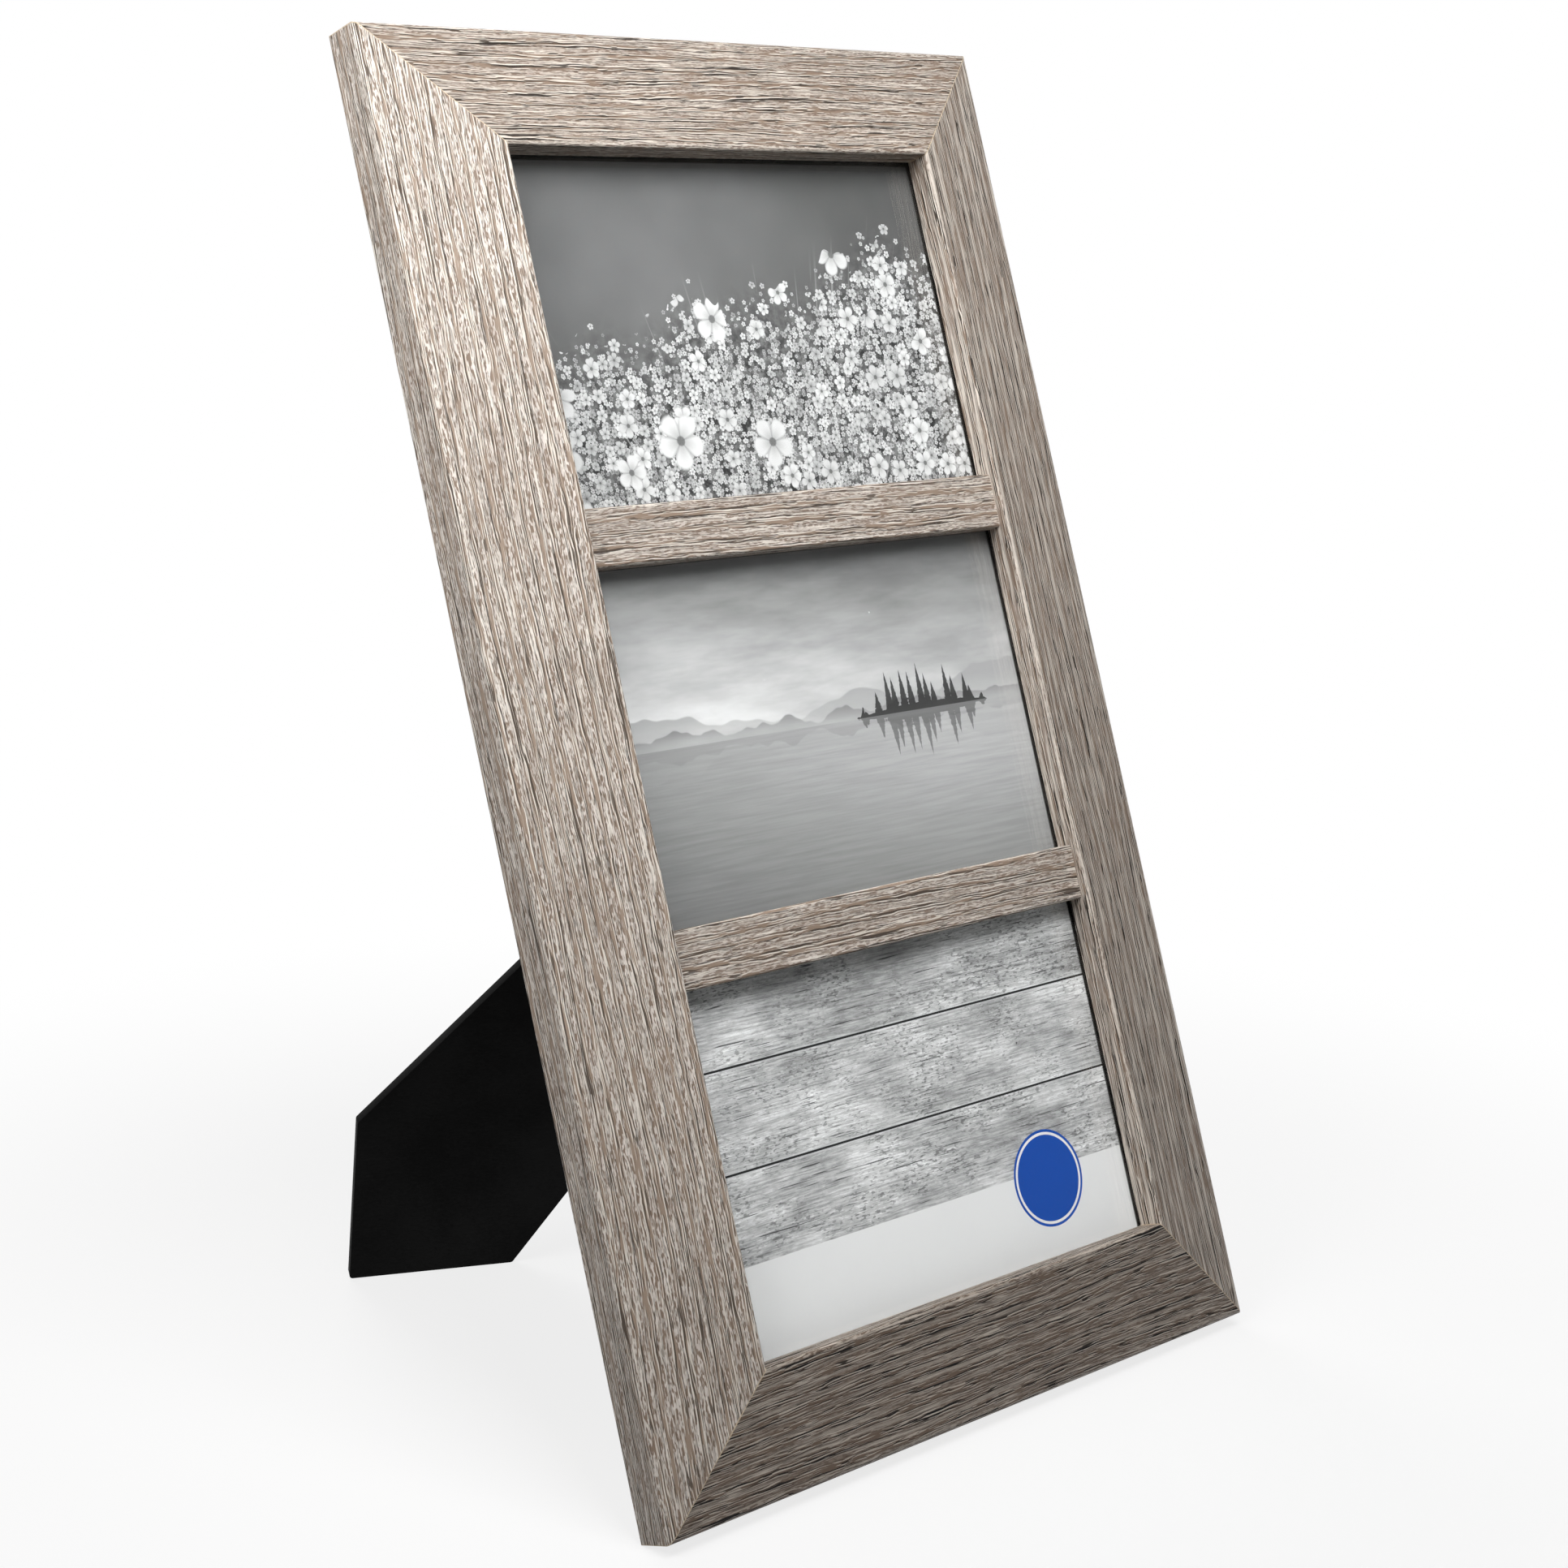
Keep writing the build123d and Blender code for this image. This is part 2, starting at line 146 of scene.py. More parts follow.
class Graph:
    """A node tree with short calls for the nodes that this scene joins up."""

    def __init__(self, tree: bpy.types.NodeTree) -> None:
        """Start on a tree and clear it."""
        self.tree = tree
        tree.nodes.clear()

    @classmethod
    def start(
        cls, name: str, kind: str, inputs: dict[str, str], outputs: dict[str, str]
    ) -> tuple["Graph", dict[str, Wire]]:
        """Start a node group.

        Args:
            name: the group's name.
            kind: the tree's type.
            inputs: each input's name and the last word of its socket type.
            outputs: the same for each output.

        Returns:
            The group's graph, and its inputs to read.
        """
        tree = bpy.data.node_groups.new(name, kind)
        for way, sockets in (("INPUT", inputs), ("OUTPUT", outputs)):
            for label, sort in sockets.items():
                tree.interface.new_socket(label, in_out=way, socket_type="NodeSocket" + sort)
        graph = cls(tree)
        entry = graph.add("NodeGroupInput")
        return graph, {label: Wire(graph, entry.outputs[label]) for label in inputs}

    def end(self, results: dict[str, Wire]) -> bpy.types.NodeTree:
        """Close the group.

        Args:
            results: what goes to its outputs, by name.

        Returns:
            The group's tree.
        """
        leave = self.add("NodeGroupOutput")
        for label, value in results.items():
            self.feed(leave.inputs[label], value)
        return self.tree

    def feed(self, socket: bpy.types.NodeSocket, value: Feed) -> None:
        """Link a wire into an input, or set a plain value on it.

        Args:
            socket: the input.
            value: the wire or the value, or None to leave the input as it is.
        """
        if isinstance(value, Wire):
            self.tree.links.new(value.socket, socket)
        elif value is not None:
            socket.default_value = value

    def add(self, kind: str, feeds: dict[str, Feed] | None = None, **settings: object) -> bpy.types.Node:
        """Add a node.

        Args:
            kind: Blender's name for the node type.
            feeds: what goes into its inputs, by socket identifier.
            settings: properties of the node, set before its inputs.

        Returns:
            The node.
        """
        node = self.tree.nodes.new(kind)
        for name, value in settings.items():
            setattr(node, name, value)
        by_name = {socket.identifier: socket for socket in node.inputs}
        for name, value in (feeds or {}).items():
            self.feed(by_name[name], value)
        return node

    def out(
        self, kind: str, feeds: dict[str, Feed] | None = None, key: int | str = 0, **settings: object
    ) -> Wire:
        """Add a node and give one of its outputs."""
        return Wire(self, self.add(kind, feeds, **settings).outputs[key])

    def outs(self, kind: str, feeds: dict[str, Feed] | None = None, **settings: object) -> dict[str, Wire]:
        """Add a node and give its outputs by name."""
        return {out.name: Wire(self, out) for out in self.add(kind, feeds, **settings).outputs}

    def group(self, tree: bpy.types.NodeTree, **feeds: Feed) -> dict[str, Wire]:
        """Place a shader group.

        Args:
            tree: the group's tree.
            feeds: what goes into its inputs, by name with _ for a space.

        Returns:
            Its outputs by name.
        """
        node = self.add("ShaderNodeGroup", node_tree=tree)
        for name, value in feeds.items():
            self.feed(node.inputs[name.replace("_", " ")], value)
        return {out.name: Wire(self, out) for out in node.outputs}

    def math(self, operation: str, first: Feed, second: Feed = None, clamp: bool = False) -> Wire:
        """Add a Math node and give its result."""
        feeds = {"Value": first, "Value_001": second}
        return self.out("ShaderNodeMath", feeds, operation=operation, use_clamp=clamp)

    def vector(self, operation: str, first: Feed, second: Feed = None) -> Wire:
        """Add a Vector Math node.

        Args:
            operation: the node's operation.
            first: the vector.
            second: the other vector, or a number for a scale.

        Returns:
            The result, which is a number for a length.
        """
        feeds = {"Vector": first, "Scale" if operation == "SCALE" else "Vector_001": second}
        key = "Value" if operation == "LENGTH" else "Vector"
        return self.out("ShaderNodeVectorMath", feeds, key, operation=operation)

    def join(self, x: Feed, y: Feed, z: Feed = 0.0) -> Wire:
        """Make a vector from three numbers."""
        return self.out("ShaderNodeCombineXYZ", {"X": x, "Y": y, "Z": z})

    def neutral(self, value: Wire) -> Wire:
        """Make a grey from a number."""
        return self.join(value, value, value)

    def parts(self, vector: Wire) -> tuple[Wire, ...]:
        """Take a vector apart."""
        return tuple(self.outs("ShaderNodeSeparateXYZ", {"Vector": vector}).values())

    def noise(self, vector: Wire, scale: float = 1.0, detail: float = 2.0, rough: float = 0.5) -> Wire:
        """Give smooth noise about 0.5, with one bump for each unit of vector times scale."""
        feeds = {"Vector": vector, "Scale": scale, "Detail": detail, "Roughness": rough}
        return self.out("ShaderNodeTexNoise", feeds, "Fac", noise_dimensions="3D")

    def step(self, value: Wire, low: Feed, high: Feed, start: float = 0.0, end: float = 1.0) -> Wire:
        """Ease from start to end while value goes from low to high."""
        feeds = {"Value": value, "From Min": low, "From Max": high, "To Min": start, "To Max": end}
        return self.out("ShaderNodeMapRange", feeds, interpolation_type="SMOOTHSTEP")

    def blend(self, factor: Wire, first: Feed, second: Feed) -> Wire:
        """Mix two numbers."""
        feeds = {"Factor_Float": factor, "A_Float": first, "B_Float": second}
        return self.out("ShaderNodeMix", feeds, data_type="FLOAT")

    def paint(self, factor: Wire, first: Feed, second: Feed) -> Wire:
        """Mix two colours."""
        feeds = {"Factor_Float": factor, "A_Color": first, "B_Color": second}
        return self.out("ShaderNodeMix", feeds, RESULT_COLOUR, data_type="RGBA")

    def either(self, factor: Wire, first: Wire, second: Wire) -> Wire:
        """Mix two shaders."""
        return self.out("ShaderNodeMixShader", {"Fac": factor, "Shader": first, "Shader_001": second})


class Grain(NamedTuple):
    """What the embossed foil's grain gives at a point, each about 0 to 1."""

    streaks: Wire
    grooves: Wire
    lit_ridges: Wire
    pebble: Wire
    lines: Wire


def lay_grain(graph: Graph, vector: Wire) -> Grain:
    """Lay the grain of the wood-look foil, in a shader or in the tree that embosses the mesh.

    Args:
        graph: the tree that the nodes go in.
        vector: metres along the length, metres round the section, and a seed.

    Returns:
        The grain's layers: smooth streaks with pebbled bands between, and grooves with a ridge beside each.
    """
    along, around, seed = graph.parts(vector)
    along, around = along * (1 / MM), around * (1 / MM)

    def layer(length: float, width: float, place: Wire, offset: float, detail: float = 1.0) -> Wire:
        """Give noise that is stretched to a length and a width in millimetres."""
        return graph.noise(graph.join(along / length, place / width, seed + offset), 1.0, detail, 0.55)

    def sway(length: float, width: float, offset: float, amount: float) -> Wire:
        """Give a slow shift across the grain, in millimetres."""
        return (layer(length, width, around, offset) - 0.5) * amount

    def cuts(place: Wire) -> Wire:
        """Give long and short cuts along the grain."""
        long = graph.step(layer(24.0, 0.42, place, 11.7, 2.0), 0.42, 0.385)
        return long.most(graph.step(layer(7.0, 0.38, place, 31.1), 0.42, 0.38, 0.0, 0.85))

    bent = around + sway(150.0, 30.0, 0.0, 7.0) + sway(9.0, 3.0, 3.1, 0.8)
    turns = (bent + sway(60.0, 6.0, 5.7, 3.0)) * (2 * pi / STREAK_PITCH)
    streaks = graph.math("SINE", turns) * 0.5 + 0.5
    share = graph.step(streaks, 0.15, 0.5, 0.45, 1.0)
    grooves = cuts(bent) * share
    # The ridge beside each groove, on its lit side, which the foil paints as a highlight.
    beside = cuts(bent + RIDGE_OFFSET) * share
    strokes = graph.step(layer(11.0, 0.37, bent, 51.3), 0.58, 0.62, 0.0, 0.85)
    broken = graph.step(layer(32.0, 2.6, around, 71.9), 0.4, 0.56)
    return Grain(
        streaks=streaks,
        grooves=grooves,
        lit_ridges=beside.most(strokes) * (1.0 - grooves),
        pebble=layer(1.7, 0.36, bent, 23.3),
        lines=graph.step(streaks, 0.26, 0.05) * broken,
    )


@dataclass
class Effects:
    """The shader node groups that more than one finish uses, built once."""

    grain: bpy.types.NodeTree = field(init=False)
    specks: bpy.types.NodeTree = field(init=False)
    fibre: bpy.types.NodeTree = field(init=False)

    def __post_init__(self) -> None:
        """Build every group."""
        self.grain = self.build_grain()
        self.specks = self.build_specks()
        self.fibre = self.build_fibre()

    def build_grain(self) -> bpy.types.NodeTree:
        """Build the foil's grain as masks, and a height.

        Returns:
            The group's tree.
        """
        labels = ("Streaks", "Lit Ridges", "Grooves", "Pebbles", "Lines", "Height")
        outputs = dict.fromkeys(labels, "Float")
        graph, reads = Graph.start("foil_grain", SHADER_TREE, {"Vector": "Vector"}, outputs)
        grain = lay_grain(graph, reads["Vector"])
        streaks = graph.step(grain.streaks, 0.56, 0.9)
        pebbles = graph.step(grain.pebble, 0.46, 0.58) * (1.0 - streaks)
        height = (pebbles + grain.lit_ridges) * RAISED + 0.5 - grain.grooves * 0.5
        masks = (streaks, grain.lit_ridges, grain.grooves, pebbles, grain.lines, height)
        return graph.end(dict(zip(labels, masks)))

    def build_specks(self) -> bpy.types.NodeTree:
        """Build a mask of small scattered specks, for dust and for dents.

        Returns:
            The group's tree.
        """
        inputs = {"Vector": "Vector", "Spacing": "Float", "Share": "Float"}
        graph, reads = Graph.start("dust_specks", SHADER_TREE, inputs, {"Mask": "Float"})
        scaled = graph.vector("SCALE", reads["Vector"], 1.0 / reads["Spacing"])
        cells = graph.outs(VORONOI, {"Vector": scaled, "Scale": 1.0})
        chance, size, _ = graph.parts(cells["Color"])
        dot = cells["Distance"] < (size + 0.3) * 0.035
        return graph.end({"Mask": (chance < reads["Share"]) * dot})

    def build_fibre(self) -> bpy.types.NodeTree:
        """Build the matted fibres of paper and card, as a shade and a height.

        Returns:
            The group's tree.
        """
        inputs = {"Vector": "Vector", "Fibre Size": "Float"}
        outputs = {"Shade": "Float", "Height": "Float"}
        graph, reads = Graph.start("paper_fibre", SHADER_TREE, inputs, outputs)
        place = graph.vector("SCALE", reads["Vector"], 1.0 / reads["Fibre Size"])
        strands = graph.noise(graph.vector("MULTIPLY", place, (0.25, 1.0, 1.6)))
        mixed = graph.noise(place, 1.0, 4.0, 0.65) * 0.5 + strands * 0.5
        patch = graph.noise(place, 0.02, 3.0, 0.6)
        return graph.end({"Shade": graph.step(mixed + patch, 0.75, 1.25), "Height": mixed})


class Surface:
    """A new material with a Principled surface."""

    def __init__(self, name: str) -> None:
        """Make the material.

        Args:
            name: the material's name.
        """
        self.material = bpy.data.materials.new(name)
        self.material.use_nodes = True
        self.graph = Graph(self.material.node_tree)
        self.shader = self.graph.add("ShaderNodeBsdfPrincipled")
        self.output = self.graph.add("ShaderNodeOutputMaterial")
        self.shown = Wire(self.graph, self.shader.outputs[0])
        self.show(self.shown)

    def show(self, shader: Wire) -> None:
        """Let a shader be what the material shows."""
        self.graph.feed(self.output.inputs["Surface"], shader)

    def place(self) -> Wire:
        """Give the point in the row frame."""
        return self.graph.out("ShaderNodeTexCoord", None, "Object")

    def set(self, **feeds: Feed) -> None:
        """Feed the surface's inputs by name, with _ for a space."""
        for name, value in feeds.items():
            self.graph.feed(self.shader.inputs[name.replace("_", " ")], value)

    def bump(self, height: Wire, depth: float, strength: float = 1.0) -> None:
        """Let a height of 0 to 1 shape the normal, over a depth in metres."""
        feeds = {"Height": height, "Distance": depth, "Strength": strength}
        self.set(Normal=self.graph.out("ShaderNodeBump", feeds))


@dataclass(frozen=True)
class FoilFinish:
    """Embossed wood-look foil: grey-brown with cream ridges and dark grooves that run along the piece, with a
    painted highlight on the ridges and painted shade in the grooves.
    """

    effects: Effects
    name: str = "wood_look_foil"
    streak: Colour = tone(160, 140, 123)
    pebble: Colour = tone(222, 211, 202)
    hollow: Colour = tone(137, 117, 101)
    # Cream of the ridges: partly the foil's own cream grain and partly a painted highlight.
    ridge: Colour = tone(248, 240, 229)
    # Near black of the grooves: dark grain ink deepened by painted shade in the hollow.
    groove_ink_and_shade: Colour = tone(8, 6, 5)
    bare: Colour = tone(226, 206, 176)
    # Per channel, how far each member's painted light level darkens and warms the body and dims the ridges.
    body_powers: tuple[float, float, float] = (1.0, 1.15, 1.3)
    ridge_powers: tuple[float, float, float] = (0.35, 0.4, 0.45)
    even_pebbles: float = 0.42
    relief: float = 0.08 * MM
    ragged: float = 0.6 * MM
    open_mitre: tuple[float, float] = (0.1 * MM, 0.26 * MM)

    def build(self) -> bpy.types.Material:
        """Build the material.

        Returns:
            The material, which reads the moulding's grain, arris, end_gap, tone (a painted light level) and
            pebbling attributes.
        """
        surface = Surface(self.name)
        graph = surface.graph

        def read(label: str, key: str = "Fac") -> Wire:
            """Read one of the moulding's attributes."""
            return graph.out("ShaderNodeAttribute", None, key, attribute_name=label)

        place = read("grain", "Vector")
        # depth holds the tone attribute: each member's painted light level, which makes the members lit and
        # shaded copies of one foil.
        gap, depth, pebbling = read("end_gap"), read("tone"), read("pebbling")
        grain = graph.group(self.effects.grain, Vector=place)
        cloud = graph.noise(graph.vector("MULTIPLY", place, (40.0, 130.0, 1.0)), 1.0, 3.0, 0.6)
        pebbles = graph.blend(pebbling, self.even_pebbles, grain["Pebbles"])
        body = graph.paint(pebbles, self.hollow, self.pebble)
        body = graph.paint(grain["Streaks"], body, self.streak)
        body = graph.paint(graph.step(cloud, 0.4, 0.7, 0.0, 0.45), body, self.hollow)
        body = graph.vector("MULTIPLY", body, graph.join(*(depth**power for power in self.body_powers)))
        lit = graph.join(*(depth**power for power in self.ridge_powers))
        ridge = graph.vector("MULTIPLY", self.ridge[:3], lit)
        # Ridges and bright lines are laid in the cream; they are partly painted highlights and glints.
        crest_highlights = grain["Lit Ridges"].most(grain["Lines"] * (1.0 - pebbling))
        body = graph.paint(crest_highlights * 0.9, body, ridge)
        # The grooves are painted deeper on the members with less painted light.
        cuts = grain["Grooves"] * graph.step(depth, 0.5, 1.2, 1.0, 0.7)
        body = graph.paint(cuts, body, self.groove_ink_and_shade)
        # Paler, in the ridge colour, along the rounded arrises where the grain stands high.
        paler = read("arris") * graph.step(grain["Height"], 0.5, 0.9, 0.0, 0.4)
        body = graph.paint(paler, body, ridge)
        split = graph.step(gap + (cloud - 0.5) * self.ragged, *self.open_mitre, 0.75, 0.0)
        smooth = graph.blend(pebbles.most(crest_highlights * 0.8), 0.56, 0.28)
        surface.set(
            Base_Color=graph.paint(split, body, self.bare),
            Roughness=graph.blend(cuts, smooth, 1.0),
        )
        height = grain["Height"] + (pebbles - grain["Pebbles"]) * RAISED
        surface.bump(height * graph.step(gap, 0.0, 0.25 * MM, 0.4, 1.0), self.relief)
        return surface.material


@dataclass(frozen=True)
class CoreFinish:
    """Bare fibreboard, where the foil ends at the back and in the rebate."""

    effects: Effects
    name: str = "bare_fibreboard"
    pale: Colour = tone(178, 146, 108)
    deep: Colour = tone(138, 106, 74)

    def build(self) -> bpy.types.Material:
        """Build the material.

        Returns:
            The material.
        """
        surface = Surface(self.name)
        graph = surface.graph
        fibre = graph.group(self.effects.fibre, Vector=surface.place(), Fibre_Size=0.8 * MM)
        shade = fibre["Shade"]
        surface.set(
            Base_Color=graph.paint(shade, self.deep, self.pale),
            Roughness=graph.blend(shade, 0.9, 0.75),
        )
        surface.bump(fibre["Height"], 0.1 * MM, 0.7)
        return surface.material


@dataclass(frozen=True)
class BlackPaperFinish:
    """Black paper on hardboard, with fine fibres, faint scuffs and a little dust."""

    effects: Effects
    name: str = "black_paper"
    black: Colour = grey(0.0022)
    paler: Colour = grey(0.006)
    dust: Colour = tone(140, 136, 130)

    def build(self) -> bpy.types.Material:
        """Build the material.

        Returns:
            The material.
        """
        surface = Surface(self.name)
        graph = surface.graph
        place = surface.place()
        fibre = graph.group(self.effects.fibre, Vector=place, Fibre_Size=0.7 * MM)
        specks = graph.group(self.effects.specks, Vector=place, Spacing=3.2 * MM, Share=0.03)
        scuff = graph.noise(graph.vector("MULTIPLY", place, (60.0, 60.0, 900.0)), 1.0, 3.0, 0.6)
        body = graph.paint(graph.step(scuff, 0.55, 0.75, 0.1, 1.0), self.black, self.paler)
        surface.set(
            Base_Color=graph.paint(specks["Mask"] * 0.5, body, self.dust),
            Roughness=graph.blend(fibre["Shade"], 0.8, 0.62),
            Specular_IOR_Level=0.08,
        )
        surface.bump(fibre["Height"], 0.06 * MM, 0.6)
        return surface.material


@dataclass(frozen=True)
class CardFinish:
    """Corrugated card: flutes across the sheet under brown paper."""

    effects: Effects
    name: str = "corrugated_card"
    pale: Colour = tone(190, 160, 122)
    deep: Colour = tone(150, 118, 82)
    flute: float = 6.5 * MM

    def build(self) -> bpy.types.Material:
        """Build the material.

        Returns:
            The material.
        """
        surface = Surface(self.name)
        graph = surface.graph
        place = surface.place()
        shade = graph.group(self.effects.fibre, Vector=place, Fibre_Size=1.0 * MM)["Shade"]
        wave = graph.math("SINE", graph.parts(place)[0] * (2 * pi / self.flute))
        surface.set(
            Base_Color=graph.paint(wave * 0.12 + shade, self.deep, self.pale),
            Roughness=graph.blend(shade, 0.9, 0.8),
        )
        surface.bump(wave, 0.1 * MM, 0.5)
        return surface.material


@dataclass(frozen=True)
class SteelFinish:
    """Zinc-plated steel with a drawn grain, dull spots and a little dust."""

    effects: Effects
    name: str = "zinc_plate"
    bright: Colour = tone(196, 200, 204)
    dull: Colour = tone(150, 153, 158)
    rough: float = 0.34
    dull_rough: float = 0.56

    def build(self) -> bpy.types.Material:
        """Build the material.

        Returns:
            The material.
        """
        surface = Surface(self.name)
        graph = surface.graph
        place = surface.place()
        specks = graph.group(self.effects.specks, Vector=place, Spacing=1.4 * MM, Share=0.06)
        drawn = graph.noise(graph.vector("MULTIPLY", place, (500.0, 4000.0, 4000.0)), 1.0, 2.0, 0.6)
        mottle = graph.step(graph.noise(place, 260.0, 4.0, 0.65) + drawn * 0.5, 0.6, 0.95)
        body = graph.paint(mottle, self.bright, self.dull)
        surface.set(
            Base_Color=graph.paint(specks["Mask"], body, self.dull),
            Roughness=graph.blend(mottle, self.rough, self.dull_rough),
            Metallic=1.0,
        )
        surface.bump(drawn, 0.02 * MM, 0.5)
        return surface.material


@dataclass(frozen=True)
class GlassFinish:
    """Clear picture glass with specks of dust, which lets lamp light through to the prints."""

    effects: Effects
    name: str = "picture_glass"
    tint: Colour = (0.985, 0.995, 0.99, 1.0)
    index: float = 1.5

    def build(self) -> bpy.types.Material:
        """Build the material.

        Returns:
            The material.
        """
        surface = Surface(self.name)
        graph = surface.graph
        specks = graph.group(self.effects.specks, Vector=surface.place(), Spacing=5.0 * MM, Share=0.02)
        dusty = specks["Mask"] * 0.35
        surface.set(Base_Color=self.tint, Transmission_Weight=1.0, IOR=self.index, Roughness=dusty)
        shadow = graph.out("ShaderNodeLightPath", None, "Is Shadow Ray")
        surface.show(graph.either(shadow, surface.shown, graph.out("ShaderNodeBsdfTransparent")))
        return surface.material


@dataclass(frozen=True)
class Stance:
    """How the upright drawing stands on the floor: leaned back about its lower back edge."""

    lean: float
    edge: float

    @classmethod
    def from_frame(cls, node: str, joint: str) -> "Stance":
        """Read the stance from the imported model.

        Args:
            node: a piece that reaches the flat back of the moulding.
            joint: a joint whose axis stands square on that back.

        Returns:
            The stance.
        """
        axis = next(j for j in frame["joints"] if j["name"] == joint)["axis"]
        lean = atan2(-axis[2], axis[1])
        turned = Matrix.Rotation(lean, 3, "X")
        back = max((turned @ vertex.co).y for vertex in frame["nodes"][node].data.vertices)
        return cls(lean, back / cos(lean))

    @property
    def matrix(self) -> Matrix:
        """The upright drawing's place in the row frame."""
        return Matrix.Translation((0.0, self.edge, 0.0)) @ Matrix.Rotation(-self.lean, 4, "X")

    @property
    def back(self) -> Matrix:
        """The place of work that lies on the back of the moulding, with Z away from it."""
        return self.matrix @ Matrix.Rotation(-pi / 2, 4, "X")

    def box(self, *nodes: str) -> tuple[Vector, Vector]:
        """Measure CAD nodes upright.

        Args:
            nodes: the nodes' names.

        Returns:
            Their lowest and highest corners in the upright drawing.
        """
        upright = self.matrix.inverted()
        points = [upright @ vertex.co for node in nodes for vertex in frame["nodes"][node].data.vertices]
        low = Vector(min(point[axis] for point in points) for axis in range(3))
        high = Vector(max(point[axis] for point in points) for axis in range(3))
        return low, high


@dataclass(frozen=True)
class PrintFinish:
    """A photograph in greys on satin paper, painted by nodes in millimetres from the print's middle."""

    effects: Effects
    stance: Stance
    node: str
    name: str
    window: tuple[float, float] = (69.85, 43.65)
    # Width and colour of the painted shadow under the sight edge.
    painted_shadow_edge: float = 0.3
    painted_shadow: Colour = grey(0.004)

    def build(self) -> bpy.types.Material:
        """Build the material.

        Returns:
            The material, with the picture on the print's face and a painted shadow under the sight edge.
        """
        surface = Surface(self.name)
        graph = surface.graph
        low, high = self.stance.box(self.node)
        shift = self.stance.matrix.inverted().to_translation() - (low + high) / 2
        place = graph.out("ShaderNodeMapping", {
            "Vector": surface.place(),
            "Scale": (1 / MM, 1 / MM, 1 / MM),
            "Rotation": (self.stance.lean, 0.0, 0.0),
            "Location": tuple(shift / MM),
        })
        across, _, up = graph.parts(place)
        # Painted shadow where the lip and the bars overhang the print, along its sides and top.
        covered = (abs(across) - self.window[0]).most(up - self.window[1])
        painted_shadow = graph.step(covered, -self.painted_shadow_edge, self.painted_shadow_edge)
        surface.set(
            Base_Color=graph.paint(painted_shadow, self.picture(graph, across, up), self.painted_shadow),
            Roughness=graph.blend(graph.noise(place, 1 / 30.0), 0.5, 0.42),
            Specular_IOR_Level=0.1,
        )
        return surface.material

    def picture(self, graph: Graph, across: Wire, up: Wire) -> Wire:
        """Paint the picture.

        Args:
            graph: the material's graph.
            across: millimetres to the right of the middle.
            up: millimetres above the middle.

        Returns:
            The colour.
        """
        raise NotImplementedError


class FlowerLayer(NamedTuple):
    """One scatter of blossoms: millimetres between them, its seed, its share, and its petals' shades."""

    spacing: float
    seed: float
    share: float
    darkest: float
    lightest: float


